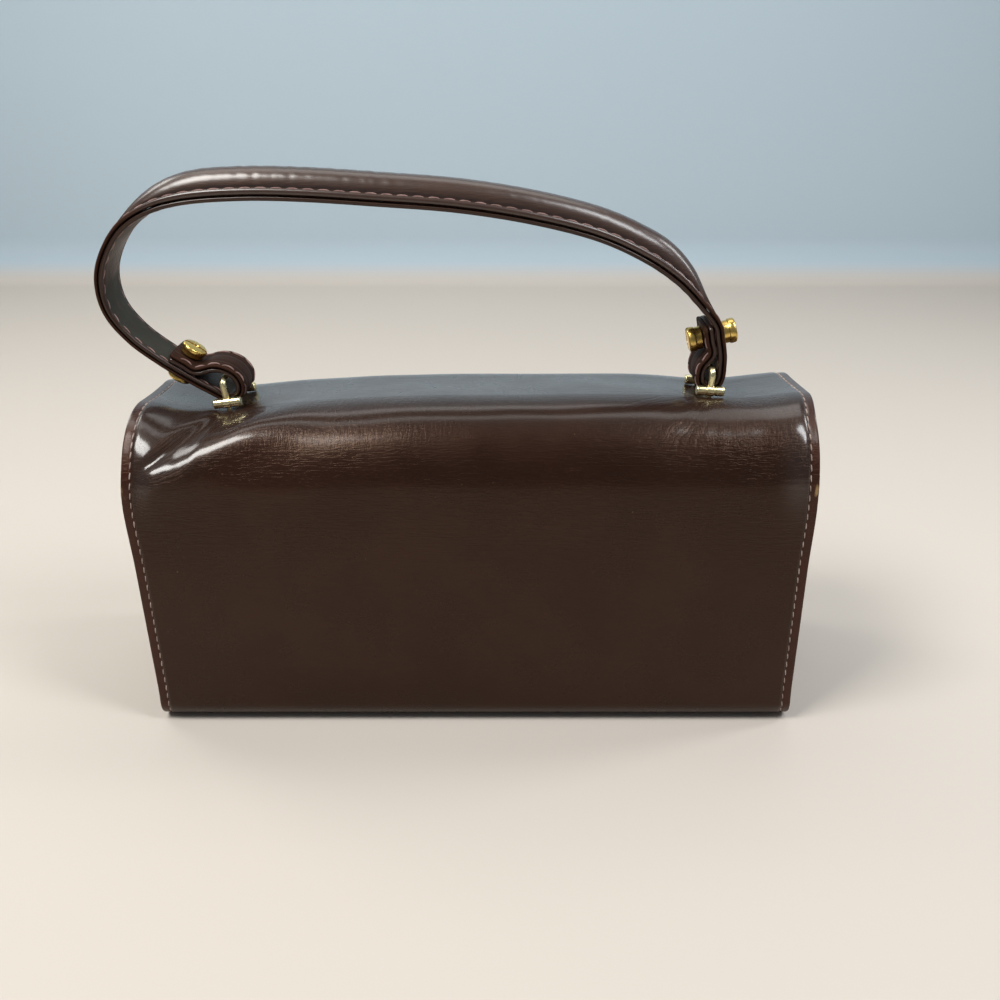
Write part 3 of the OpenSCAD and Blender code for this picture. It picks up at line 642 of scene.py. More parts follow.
@dataclass(frozen=True)
class Relief:
    """Fine form of the leather: margins, folds, lobes and wrinkles, in millimetres.

    Lines are written as tables of the place along the panel and the length above the crease.
    """

    form: RoofForm = field(default_factory=RoofForm)
    edge_r: float = 0.6
    groove_w: float = 0.4
    groove_deep: float = 0.18
    sag_h: float = 0.16
    sag_length: float = 46.0
    dimple_h: float = 0.03
    dimple_length: float = 17.0
    ridge_x: tuple = (-108.0, -100.5, -93.0, -84.0, -75.0, -67.5, -55.5, -46.0, -26.0)
    ridge_u: tuple = (4.8, 9.0, 13.3, 18.8, 23.2, 26.5, 30.4, 32.2, 31.2)
    valley_x: tuple = (-108.0, -104.0, -100.5, -98.0, -92.5, -87.0, -83.5, -76.0, -66.0, -50.0)
    valley_w: tuple = (2.0, 2.4, 3.2, 4.2, 6.6, 9.2, 12.0, 12.5, 10.5, 8.5)
    valley_deep: float = 1.3
    ridge_h: float = 2.5
    ridge_soft: float = 6.4
    ridge_below: float = 3.4
    ridge_shine: float = 3.5
    fold_from: float = -107.0
    fold_soft: float = 8.0
    lobe_h: float = 0.95
    right_lobe_h: float = 1.15
    left_lobe: Spot = Spot(-104.0, 28.0, 3.4, 15.0)
    right_lobe: Spot = Spot(103.4, 19.0, 4.2, 15.0)
    left_corner: Spot = Spot(-95.0, 25.0, 15.0, 15.0)
    right_corner: Spot = Spot(92.0, 24.0, 13.0, 17.0)
    corner_h: tuple = (0.05, 0.03)
    legs: tuple = ((-81.5, 1.0), (77.5, 0.4))
    leg_y: float = 10.0
    pleat_h: float = 0.15
    ripple_h: float = 0.06
    ripple_pitch: float = 2.7
    hinge_w: float = 7.5

    def fold(self, x: Array, upper: Array) -> tuple[Array, Array, Array]:
        """Height of the fold from the left staple to the side, and the place across it.

        A broad bell stands a little below the ridge's line, and the valley is a bell about the
        place that lies its width above the line.

        Args:
            x: Place along the panel, shape (rows, 1).
            upper: Length above the crease, shape (1, cols).

        Returns:
            The height, the distance from the ridge in widths of the valley, and the ridge's share.
        """
        across = (upper - np.interp(x, self.ridge_x, self.ridge_u)) * 0.88
        wide = np.interp(x, self.valley_x, self.valley_w)
        start = self.fold_start(x)
        share = start * (1 - ease((x + 78) / 34))
        below = self.ridge_below * (1 - ease((x + 96) / 24))
        ridge = self.ridge_h * share * bell(across + below, self.ridge_soft)
        valley = self.valley_deep * bell(across - wide, 0.5 * wide) * start * (1 - ease((x + 82) / 28))
        return ridge - valley, across / wide, share * bell(across, self.ridge_shine)

    def fold_start(self, x: Array) -> Array:
        """Rise of the fold from 0 at the side edge to 1."""
        return ease((x - self.fold_from) / self.fold_soft)

    @property
    def foot(self) -> float:
        """Length above the crease at which the staples' near legs stand."""
        s = self.form.size
        return s.shoulder_r * np.pi / 2 + s.roof_half - self.leg_y

    def margin(self, side: Array) -> Array:
        """Height of the stitched margin: an eased step down, a groove and a quarter round edge.

        Args:
            side: Distance from the side edge, shape (rows, 1).

        Returns:
            Height, of the shape of side.
        """
        s = self.form.size
        step = ease((s.seam_w + 0.5 - side) / 0.9)
        groove = bell(side - s.stitch_in, self.groove_w)
        rounding = np.sqrt(np.maximum(0, self.edge_r ** 2 - np.maximum(0, self.edge_r - side) ** 2)) - self.edge_r
        return -s.seam_drop * step - self.groove_deep * groove + rounding

    def pleats(self, x: Array, upper: Array, place: Array) -> tuple[Array, Array]:
        """Phase and amount of the pleats that fan out from the staples' legs and fill the fold.

        The phase is the angle about the nearer leg; the amount falls off by ease above the
        leg, sideways as a bell, and with the distance from the leg.

        Args:
            x: Place along the panel, shape (rows, 1).
            upper: Length above the crease, shape (1, cols).
            place: Distance from the ridge in widths of the valley.

        Returns:
            The phase and the amount, of the grid's shape.
        """
        fan, pleat = 0 * (x + upper), 0 * (x + upper)
        for leg_x, amount in self.legs:
            dx, du = x - leg_x, upper - self.foot
            away = np.hypot(dx, du)
            angle = np.arctan2(-du, dx)
            below = ease((self.foot + 4 - upper) / 5) * bell(x - leg_x + 6, 17)
            fan = np.where(x < 0, fan, angle) if leg_x > 0 else angle + fan
            reach = ease((away - 2.5) / 3) * (1 - ease((away - 12 - 22 * ease((leg_x - x) / 12)) / 12))
            pleat = pleat + amount * below * reach
        return fan, pleat + 0.8 * bell(place - 0.5, 0.42) * ease((-x - 70) / 12) * self.fold_start(x)

    def heights(self, x: Array, run: Array, z: Array, creases_at: float) -> dict[str, Array]:
        """Heights and wear values on the leather's grid.

        The height adds up the margin, soft unevenness, the fold, the lobes between the valley
        and the edges, small wrinkles in both corners, broad pleats and the ripples at the
        crease. The finish draws the fine pleats and wrinkles from the other values.

        Args:
            x: Place along the panel, shape (rows, 1).
            run: Length along the outline, shape (1, cols).
            z: Height, shape (1, cols).
            creases_at: Length along the outline at the flap's crease.

        Returns:
            Arrays height, edge, crease, worn, shine, fan, pleat and cross, of the grid's shape.
        """
        s = self.form.size
        side = s.half_w - np.abs(x)
        upper = run - creases_at
        soft = waves(x, run + 0 * x, 11, self.sag_length) * self.sag_h
        soft = soft + waves(x, run + 0 * x, 12, self.dimple_length) * self.dimple_h
        calm = ease(side / 8) * (0.3 + 0.7 * ease((upper + 6) / 12)) * ease((z - 2) / 16)
        folded, place, ridge = self.fold(x, upper)
        inside = ease((side - 0.5) / 5)
        lobes = self.lobe_h * self.left_lobe.at(x, upper) + self.right_lobe_h * self.right_lobe.at(x, upper)
        near_left, near_right = self.left_corner.at(x, upper), self.right_corner.at(x, upper)
        small = waves(x * 1.5, upper * 0.35 + x * 0.2, 5, 8, 5)
        small = small * (self.corner_h[0] * near_left + self.corner_h[1] * near_right)
        fan, pleat = self.pleats(x, upper, place)
        broad = np.sin(9 * fan + 1.3 * np.sin(3 * fan)) * pleat
        corner = ease((30 - side) / 24)
        ripple = np.sin(upper * 2 * np.pi / self.ripple_pitch + 1.1 * np.sin(x / 9.0))
        height = self.margin(side) + soft * calm + folded * inside + lobes * ease(side / 5) + small * inside
        height = height + self.pleat_h * broad * inside
        height = height + self.ripple_h * ripple * bell(upper, self.hinge_w) * (0.25 + 0.75 * corner)
        worn = bell(upper, 3.5) * ease((2.4 - side) / 2) * bell(waves(x, run + 0 * x, 31, 5) - 1.2, 0.7)
        edge = ease((s.seam_w + 0.2 - side) / 0.5) + 0 * run
        crease = bell(upper + 4, 13) * (0.55 + 0.45 * corner) + 0.8 * near_left + 0.4 * near_right
        crease = np.clip(crease + 0.3 * (upper > -90), 0, 1)
        near_leg = sum(bell(np.hypot(x - leg_x, upper - self.foot), 13) for leg_x, _ in self.legs)
        shine = np.clip((ease((upper - 18) / 14) + ridge) * (1 - 0.75 * near_leg) + lobes * (1 - edge), 0, 1)
        cross = bell(upper - 32, 7) * (0.25 + 0.75 * bell(x + 52, 26)) + bell(upper - 27, 9) * bell(x - 94, 14)
        both = {"height": height, "edge": edge, "crease": crease, "worn": worn, "shine": shine,
                "fan": fan + 0.6 * place * (x < 0), "pleat": pleat * inside,
                "cross": np.clip(cross + 0.7 * near_left, 0, 1) * inside}
        return {key: value + 0 * height for key, value in both.items()}


def side_stations(half: float, step: float, fine: float = 6.5) -> Array:
    """Stations along the panels, closer together near both side edges.

    Args:
        half: Half the width of the panel.
        step: Step between stations on the dented right part.
        fine: Width of the strip at each edge that has stations of its own.

    Returns:
        Places along X, rising.
    """
    edge = half - np.array([0, 0.15, 0.35, 0.6, 1.0, 1.5, 2.0, 2.35, 2.6, 2.8, 3.0, 3.2, 3.4, 3.65, 3.95, 4.3,
                            4.8, 5.5])
    left, right = np.arange(-half + fine, -44, 0.62 * step), np.arange(60, half - fine, step)
    return joined(-edge, left, np.arange(-44, 60, 1.6 * step), right, edge)


@dataclass
class LeatherBody:
    """Outer leather: one sheet that bends at the flap's crease, the front panel, and their seams."""

    form: RoofForm
    relief: Relief
    leather: Material
    thread: Material
    step: float = 0.9
    stitch_share: float = 0.74
    thread_r: float = 0.22
    stitch_lift: float = 0.02
    stitch_slant: float = 6.0
    hem_slant: float = 7.0

    def build(self) -> None:
        """Makes the sheets and the threads of the seams."""
        size = self.form.size
        x = side_stations(size.half_w, 1.35)
        panel, fold, flat, far, rear = self.form.body_run(0, size.mouth_z, 1.6 * self.step)
        under = flat[0] < size.join_y
        first = [tuple(np.concatenate([[edge], v[under]]) for v, edge in zip(flat, (size.join_y, 0, 0, 0, -1)))]
        line = self.form.outline(first + [far, rear] + self.form.flap_run(0, self.step))
        sheet = self.sheet("shell_leather", x, line)
        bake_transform(sheet)
        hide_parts("body_cover", "flap_cover")
        last = [tuple(np.concatenate([v[~under], [edge]]) for v, edge in zip(flat, (size.join_y, 0, 0, 0, -1)))]
        front = self.form.outline([panel, fold] + last)
        sheet = self.sheet("front_leather", side_stations(size.half_w, 2.6), front)
        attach(sheet, BODY)
        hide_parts("body_cover")
        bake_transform(self.seams("shell_seam_threads", line))
        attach(self.seams("front_seam_threads", front), BODY)
        self.hem()

    def sheet(self, name: str, x: Array, line: dict[str, Array]) -> Object:
        """Makes one sheet of the leather with its relief on the outside.

        Args:
            name: Name of the piece.
            x: Stations along the panels.
            line: Outline of the sheet.

        Returns:
            The dressed piece.
        """
        worn = self.worn(x, line)
        outer = self.form.place(x, line, worn["height"])
        inner = self.form.place(x, line, -self.form.size.cover_t)
        values = {key: worn[key] for key in worn if key != "height"}
        return dress(shell(name, outer, inner, values), self.leather)

    def worn(self, x: Array, line: dict[str, Array]) -> dict[str, Array]:
        """Relief of the leather, whose flap starts at the crease, or nowhere on the front panel.

        Args:
            x: Stations along the panels.
            line: Outline of the sheet.

        Returns:
            Height and wear values on the grid, by name.
        """
        size = self.form.size
        on_flap = np.nonzero((line["y"] < size.back_y + 0.01) & (line["z"] >= size.crease_z))[0]
        crease = float(line["run"][on_flap[0]]) if len(on_flap) else NO_FLAP
        return self.relief.heights(x[:, None], line["run"][None], line["z"][None], crease)

    def seams(self, name: str, line: dict[str, Array]) -> Object:
        """Makes the stitches along both side edges of a sheet.

        Args:
            name: Name of the piece.
            line: Outline of the sheet.

        Returns:
            The dressed threads, without a body yet.
        """
        size = self.form.size
        rings = []
        for side in (-1, 1):
            x = np.array([side * (size.half_w - size.stitch_in)])
            path = self.form.place(x, line, self.worn(x, line)["height"])[0]
            centre, way, at = spaced(path, size.stitch_pitch)
            station = np.arange(len(path))
            out = grid_of(0 * at, np.interp(at, station, line["ny"]), np.interp(at, station, line["nz"]))
            out = squared(out, way)
            long = self.stitch_share * size.stitch_pitch
            rings.append(stitch_rings(centre + self.stitch_lift * out, way, out, long, self.thread_r,
                                      side * self.stitch_slant))
        return dress(many_tubes(name, np.concatenate(rings)), self.thread)

    def hem(self) -> None:
        """Makes the stitches along the lower edge of the flap's front."""
        size = self.form.size
        reach = size.half_w - 2 * size.stitch_in
        x = np.linspace(-reach, reach, 60)
        path = np.stack([x, 0 * x + size.flap_y, 0 * x + size.flap_low + size.stitch_in], 1)
        centre, way, _ = spaced(path, size.stitch_pitch)
        out = np.zeros_like(centre)
        out[:, 1] = 1
        rings = stitch_rings(centre, way, out, self.stitch_share * size.stitch_pitch, self.thread_r, self.hem_slant)
        mount(many_tubes("flap_hem_threads", rings), self.thread, None, FLAP)


@dataclass
class SideGussets:
    """The two folding sides with flanges behind the cover's edges, and their linings."""

    form: RoofForm
    leather: Material
    lining: Material
    rows: int = 26
    cols: int = 44

    def build(self) -> None:
        """Makes both gussets and both linings."""
        size = self.form.size
        top = size.mouth_z - 1
        inner_x = size.half_w - size.flange_w
        deep = size.stack + size.seat
        for side, name in ((-1, "left"), (1, "right")):
            outer = self.grid(size.cover_in + size.gusset_t, inner_x, top, True)
            inner = self.grid(size.cover_in, inner_x - size.gusset_t, top, True)
            obj = self.between(f"side_gusset_{name}", outer, inner, side)
            mount(obj, self.leather, Slot.DARK, BODY, f"gusset_{name}")
            lining_x = inner_x - size.gusset_t - 0.3
            outer = self.grid(deep, lining_x, top - 1, False)
            inner = self.grid(deep, lining_x - size.lining_t, top - 1, False)
            obj = self.between(f"side_lining_{name}", outer, inner, side)
            mount(obj, self.lining, Slot.LINING, BODY, f"gusset_lining_{name}")

    def between(self, name: str, outer: Array, inner: Array, side: int) -> Object:
        """Mirrors a pair of grids to their side, adds the flare and makes the closed sheet.

        Args:
            name: Name of the piece.
            outer: Grid of its outside, on the right.
            inner: Grid of its inside, on the right.
            side: -1 for the left, 1 for the right.

        Returns:
            The new object.
        """
        grids = []
        for grid in (outer, inner):
            g = grid.copy()
            g[..., 0] *= side
            g[..., 0] += self.form.flare(g[..., 0], g[..., 1], g[..., 2])
            grids.append(g)
        return shell(name, *grids, sharp_deg=40)

    def grid(self, depth: float, x: float, top: float, flange: bool) -> Array:
        """Grid of a gusset from the mouth to the bottom and from back to front.

        A row lies between a point of the back rim and its mirror image at the front, lowered by
        the bottom rim's shape; the fold pulls each point inwards by
        depth of the fold * ease((z - r) / (top - r)) * tent(y).

        Args:
            depth: Depth of the rim below the outside of the cover.
            x: Place of the side panel along X.
            top: Height of the mouth.
            flange: With the flange that is turned out behind the cover's edges.

        Returns:
            Points, shape (rows, cols, 3).
        """
        s = self.form.size
        r, back = s.bottom_r, s.back_y
        a = np.radians(np.linspace(0, 45, 7))[1:]
        side_y = np.concatenate([np.full(self.rows, back + depth), back + r - (r - depth) * np.cos(a)])
        side_z = np.concatenate([np.linspace(top, r, self.rows), r - (r - depth) * np.sin(a)])
        b = np.radians(np.linspace(45, 90, 7))
        arc_y, arc_z = back + r - (r - depth) * np.cos(b), r - (r - depth) * np.sin(b)
        flat = np.linspace(arc_y[-1], s.mid_y, self.cols // 2)[1:-1]
        half_y = np.concatenate([arc_y, flat])
        half_z = np.concatenate([arc_z, 0 * flat + depth])
        low_y = np.concatenate([half_y, [s.mid_y], 2 * s.mid_y - half_y[::-1]])
        low_z = np.concatenate([half_z, [depth], half_z[::-1]])
        v = (low_y - low_y[0]) / (low_y[-1] - low_y[0])
        u = np.linspace(0, 1, len(side_y))[:, None]
        yy = side_y[:, None] + (2 * s.mid_y - 2 * side_y[:, None]) * v
        zz = side_z[:, None] + (low_z - low_z[0]) * u
        away = np.sqrt((yy - s.mid_y) ** 2 + 0.5)
        tent = np.maximum(0, 1 - away / (s.mid_y - back - s.stack))
        belly = 0.8 * np.sin(np.pi * np.clip(away / (s.mid_y - back - s.stack), 0, 1)) * ease((zz - 20) / 30)
        deep = s.gusset_fold * ease((zz - r) / (s.mouth_z - 1 - r))
        xx = x - deep * tent - belly * (deep / s.gusset_fold)
        core = np.stack([xx, yy, zz], -1)
        if not flange:
            return core
        edge = s.half_w - s.flange_inset
        rim = np.stack([0 * side_y + edge, side_y, side_z], 1)[:, None]
        near = rim.copy()
        near[..., 0] = edge - (edge - x) * 0.5
        far = np.stack([0 * side_y + edge, 2 * s.mid_y - side_y, side_z], 1)[:, None]
        past = far.copy()
        past[..., 0] = near[..., 0]
        low = np.stack([0 * low_y + edge, low_y, low_z], 1)
        wide = np.concatenate([rim, near, core, past, far], 1)
        below = np.concatenate([low[:1], low[:1], low, low[-1:], low[-1:]])
        middle = below.copy()
        middle[2:-2, 0] = edge - (edge - x) * 0.5
        middle[1, 0] = middle[-2, 0] = edge - (edge - x) * 0.25
        return np.concatenate([wide, middle[None], below[None]], 0)


@dataclass
class Linings:
    """Woven linings of the body and the flap, the pocket, and the bindings of their edges."""

    form: RoofForm
    fabric: Material
    leather: Material

    def build(self) -> None:
        """Makes the linings, the pocket with its welt and the binding of the mouth."""
        size = self.form.size
        deep = size.stack - size.lining_t
        half = 102.2
        x = np.linspace(-half, half, 90)
        outer = self.form.outline(self.form.body_run(deep, size.mouth_z - 1, 2.5))
        inner = self.form.outline(self.form.body_run(size.stack, size.mouth_z - 1, 2.5))
        soft = 0.12 * waves(x[:, None], outer["run"][None], 21, 30) - 0.05
        obj = shell("body_fabric", self.unworn(x, outer, 0), self.unworn(x, inner, np.minimum(soft, 0.02)))
        mount(obj, self.fabric, Slot.LINING, BODY, "body_lining")
        self.flap_fabric()
        self.binding()
        self.pocket()

    @staticmethod
    def unworn(x: Array, line: dict[str, Array], height: Array | float) -> Array:
        """Points of a sheet along an outline without the flare, where height is its lift."""
        return grid_of(x[:, None], line["y"] + line["ny"] * height, line["z"] + line["nz"] * height)

    def flap_fabric(self) -> None:
        """Makes the lining of the flap, which hangs clear of the rivets under the roof."""
        size = self.form.size
        deep = size.cover_in + size.board_t + size.seat
        x = np.linspace(-105, 105, 100)
        lines = []
        for depth in (deep, deep + size.lining_t):
            rise, roof, fall, front = self.form.flap_run(depth, 2.0)
            rise = tuple(v[rise[2] > 0.3] for v in rise)
            front = tuple(v[front[1] > size.flap_low + 1.9] for v in front)
            lines.append(self.form.outline([rise, roof, fall, front]))
        soft = 0.1 * waves(x[:, None], lines[1]["run"][None], 22, 24) - 0.04
        outer = self.form.place(x, lines[0], 0.0, size.lining_hang)
        inner = self.form.place(x, lines[1], np.minimum(soft, 0.03), size.lining_hang)
        mount(shell("flap_fabric", outer, inner), self.fabric, Slot.LINING, FLAP, "flap_lining")

    def binding(self) -> None:
        """Makes the folded strip over the top of the front panel, round over its upper edge."""
        size = self.form.size
        y0 = size.front_y - size.stack - size.seat - size.lining_t
        y1 = size.front_y + size.seat + size.lining_t
        mid, half = (y0 + y1) / 2, (y1 - y0) / 2
        a = np.linspace(np.pi, 0, 15)
        foot = size.mouth_z - 4
        top = size.mouth_z + size.seat
        rise = size.lining_t

        def profile(cut: float) -> tuple[Array, Array]:
            """Section of the strip: a flattened arch on two straight legs.

            Args:
                cut: Depth below the strip's outside.

            Returns:
                Places across the depth, and heights.
            """
            arch_y = mid + (half - cut) * np.sign(np.cos(a)) * np.abs(np.cos(a)) ** 0.35
            arch_z = top + (rise - cut) * np.abs(np.sin(a)) ** 0.5
            y = np.concatenate([[y0 + cut] * 4, arch_y, [y1 - cut] * 4])
            z = np.concatenate([np.linspace(foot, top - 0.4, 4), arch_z, np.linspace(top - 0.4, foot, 4)])
            return y, z

        x = np.linspace(-101.1, 101.1, 80)
        grids = []
        for cut in (0.0, size.lining_t * 0.97):
            grids.append(grid_of(x[:, None], *profile(cut)))
        mount(shell("mouth_edge_binding", *grids, sharp_deg=60), self.leather, Slot.DARK, BODY, "mouth_binding")

    def pocket(self) -> None:
        """Makes the slip pocket, which bellies out a little, and its welt."""
        size = self.form.size
        w, h, low, r = 55.0, 44.0, 24.0, 8.0
        y0 = size.back_y + size.stack + size.seat
        t = np.linspace(0, 1, 34)
        z = low + h * t
        inset = np.where(z - low < r, r - np.sqrt(np.maximum(0, r ** 2 - (r - (z - low)) ** 2)), 0.0)
        s = np.linspace(-1, 1, 60)
        x = s[:, None] * (w - inset[None])
        belly = 0.5 * (1 - s[:, None] ** 4) * ease(t[None] / 0.4)
        far = grid_of(x, y0 + belly * 0.6, z)
        near = grid_of(x, y0 + size.lining_t + belly, z)
        mount(shell("pocket_fabric", near, far), self.fabric, Slot.LINING, BODY, "slip_pocket")
        t = np.linspace(0, 1, 12)
        z = low + h - 6 + 6.2 * t
        x = s[:, None] * w
        belly = 0.5 * (1 - s[:, None] ** 4)
        round_off = 0.3 * (np.abs(2 * t - 1) ** 6)[None]
        y1 = y0 + size.seat + size.lining_t
        far = grid_of(x, y1 + belly, z)
        near = grid_of(x, y1 + size.lining_t + belly - round_off, z)
        mount(shell("pocket_edge_welt", near, far), self.leather, Slot.DARK, BODY, "pocket_welt")


# Handle and hardware


@dataclass(frozen=True)
class HardwareSize:
    """Sizes of staples, saddle bars and studs, in millimetres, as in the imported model."""

    left_x: float = -81.5
    right_x: float = 77.5
    rod_r: float = 1.05
    leg_y: float = 10.0
    rise: float = 8.2
    bend_r: float = 2.0
    bar_len: float = 9.2
    bar_r: float = 1.6
    collar_r: float = 1.75
    collar_w: float = 2.4
    bar_gap: float = 0.2
    prong_r: float = 0.7
    rivet_r: float = 1.4
    rivet_t: float = 0.5
    washer_top: float = 5.35
    washer_t: float = 0.8
    stud_r: float = 4.1
    stud_step: float = 2.2
    stud_cap: float = 2.5
    barrel_r: float = 1.8
    screw_r: float = 1.15
    slot_w: float = 0.8
    slot_deep: float = 0.9
    left_stud_share: float = 0.7


@dataclass(frozen=True)
class StaplePose:
    """Where a staple stands on the worn roof: its foot, and how far it leans with the roof."""

    form: RoofForm
    size: HardwareSize
    x: float

    def foot_z(self, y: float) -> float:
        """Height of a saddle bar's axis over the roof at y."""
        return self.form.roof_z(self.x, y) + self.size.collar_r + self.size.bar_gap

    @property
    def foot(self) -> float:
        """Mean height of both saddle bars."""
        return (self.foot_z(-self.size.leg_y) + self.foot_z(self.size.leg_y)) / 2

    @property
    def lean(self) -> float:
        """Mean slope of the roof along X at both legs, in radians."""
        tilts = [np.arctan((self.form.roof_z(self.x + 2, y) - self.form.roof_z(self.x - 2, y)) / 4)
                 for y in (-self.size.leg_y, self.size.leg_y)]
        return float(np.mean(tilts))

    def offset(self, y: float) -> float:
        """Height of the saddle bar at y above the mean foot."""
        return self.foot_z(y) - self.foot

    def out(self, points: Array) -> Array:
        """Turns points of the staple's own frame into the bag's frame.

        Args:
            points: Points whose last axis is X, Y, Z; the turn is about Y by the staple's lean.

        Returns:
            The turned points, moved to the staple's foot.
        """
        c, s = np.cos(self.lean), np.sin(self.lean)
        x, y, z = points[..., 0], points[..., 1], points[..., 2]
        return np.stack([self.x + x * c - z * s, y, self.foot + x * s + z * c], -1)

    @property
    def rod(self) -> Array:
        """Middle of the rod in the X-Z plane."""
        return self.out(np.array([0.0, 0.0, self.size.rise]))[[0, 2]]


@dataclass(frozen=True)
class StrapSize:
    """Sizes of the strap, in millimetres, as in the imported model."""

    half_w: float = 8.25
    upper_t: float = 1.25
    under_t: float = 1.7
    crown_h: float = 5.6
    arch_edge: float = 0.9
    crown_half: float = 6.1
    seat: float = 0.1
    end_share: float = 0.02
    loop: float = 5.2
    rise: float = 67.2
    shift: float = -2.0
    half_span: float = 79.5
    roof_top: float = 113.3
    stack_gap: float = 0.1
    past: float = 5.2
    run: float = 4.2
    splay: float = 2.0
    stitch_pitch: float = 4.8
    stitch_at: float = 7.05
    edge_round: float = 0.6


@dataclass
class StrapRoute:
    """The joint between the strap's two leathers in the X-Z plane, from cut end to cut end.

    The arch is drawn in shares of half the staples' span and of the handle's rise, the loops in
    shares of their reach about the rods. Between the points runs the curve
    (2b + (c - a)t + (2a - 5b + 4c - d)t^2 + (3b - a - 3c + d)t^3) / 2.
    """

    strap: StrapSize
    left_rod: Array
    right_rod: Array
    left_loop: tuple = ((-0.70, 0.74), (0, 0.66), (0.66, 0.28), (1.02, -0.34), (0.92, -0.98), (0.38, -1.32),
                        (-0.26, -1.16), (-0.96, -0.76), (-1.75, -0.30))
    left_stud_share: tuple = (-2.81, 0.38)
    arch: tuple = ((-1.272, 0.130), (-1.372, 0.229), (-1.447, 0.352), (-1.468, 0.482), (-1.443, 0.611),
                   (-1.363, 0.752), (-1.245, 0.842), (-1.090, 0.890), (-0.867, 0.908), (-0.635, 0.904),
                   (-0.345, 0.883), (-0.034, 0.855), (0.260, 0.802), (0.518, 0.726), (0.711, 0.626),
                   (0.848, 0.520), (0.941, 0.414), (1.015, 0.312))
    right_stud_share: tuple = (0.43, 1.87)
    right_loop: tuple = ((0.63, 0.92), (0.68, 0.10), (0.65, -0.60), (0.42, -1.12), (-0.05, -1.34),
                         (-0.50, -1.12), (-0.72, -0.62), (-0.60, 0.14))
    points: Array = field(init=False)
    studs: dict = field(init=False)
    arch_from: int = field(init=False)
    arch_to: int = field(init=False)

    def __post_init__(self) -> None:
        """Works out the points of the route and the places of both studs."""
        s = self.strap
        left = self.left_rod + s.loop * np.array(self.left_loop)
        right = self.right_rod + s.loop * np.array(self.right_loop)
        left_stud = self.left_rod + s.loop * np.array(self.left_stud_share)
        right_stud = self.right_rod + s.loop * np.array(self.right_stud_share)
        arch = np.array([s.shift, s.roof_top]) + np.array(self.arch) * [s.half_span, s.rise]
        left_way = unit(arch[0] - left[-1])
        right_way = unit(right[0] - arch[-1])
        left_side, right_side = -turned(left_way), -turned(right_way)
        stack = 2 * s.under_t + s.stack_gap
        first = [left_stud + stack * left_side + s.past * left_way - d * leaned(left_way, s.splay)
                 for d in (0, s.past, s.past + s.run)]
        final = [right_stud + stack * right_side - s.past * right_way + d * leaned(right_way, -s.splay)
                 for d in (s.past + s.run, s.past, 0)]
        self.points = np.concatenate([first, left, [left_stud], arch, [right_stud], right, final])
        self.arch_from = len(first) + len(left)
        self.arch_to = self.arch_from + len(arch) + 1
        reach = stack + s.past * np.sin(np.radians(s.splay))
        self.studs = {}
        for name, place, side, lean in (("left", left_stud, left_side, s.splay),
                                        ("right", right_stud, right_side, -s.splay)):
            axis = leaned(side, lean / 2)
            grip = (reach / 2 + s.upper_t + s.crown_h * s.end_share
                    + HardwareSize.stud_r * np.sin(np.radians(s.splay / 2)) + 0.05)
            self.studs[name] = (place + axis * reach / 2, axis, grip)

    def at(self, u: Array) -> Array:
        """Points of the smooth curve through the route's points (a Catmull-Rom curve).

        Args:
            u: Places along the curve, counted in points of the route.

        Returns:
            Places in the X-Z plane, shape (n, 2).
        """
        p, last = self.points, len(self.points) - 1
        i = np.minimum(np.floor(u).astype(int), last - 1)
        t = (u - i)[:, None]
        a, b, c, d = p[np.maximum(i - 1, 0)], p[i], p[i + 1], p[np.minimum(i + 2, last)]
        return (2 * b + (c - a) * t + (2 * a - 5 * b + 4 * c - d) * t ** 2 + (3 * b - a - 3 * c + d) * t ** 3) / 2

    def stations(self, step: float) -> tuple[Array, Array, Array, Array]:
        """Evenly spaced stations on the curve.

        Args:
            step: Largest distance between two stations.

        Returns:
            Place in points of the route, length along the curve, and the place and the normal in
            the X-Z plane of each station.
        """
        dense = np.linspace(0, len(self.points) - 1, 40 * (len(self.points) - 1) + 1)
        curve = self.at(dense)
        run = run_of(curve)
        length = np.linspace(0, run[-1], int(run[-1] / step) + 1)
        u = np.interp(length, run, dense)
        h = 0.12
        last = len(self.points) - 1
        way = self.at(np.minimum(u + h, last)) - self.at(np.maximum(u - h, 0))
        way = way / np.linalg.norm(way, axis=1)[:, None]
        return u, length, self.at(u), np.stack([-way[:, 1], way[:, 0]], 1)

    def crown_share(self, u: Array) -> Array:
        """Share of the full crown at u: nearly flat at the folded ends, full over the arch."""
        rise = np.minimum(ease((u - self.arch_from - 5.5) / 3), ease((self.arch_to - 1 - u) / 3))
        return self.strap.end_share + (1 - self.strap.end_share) * rise


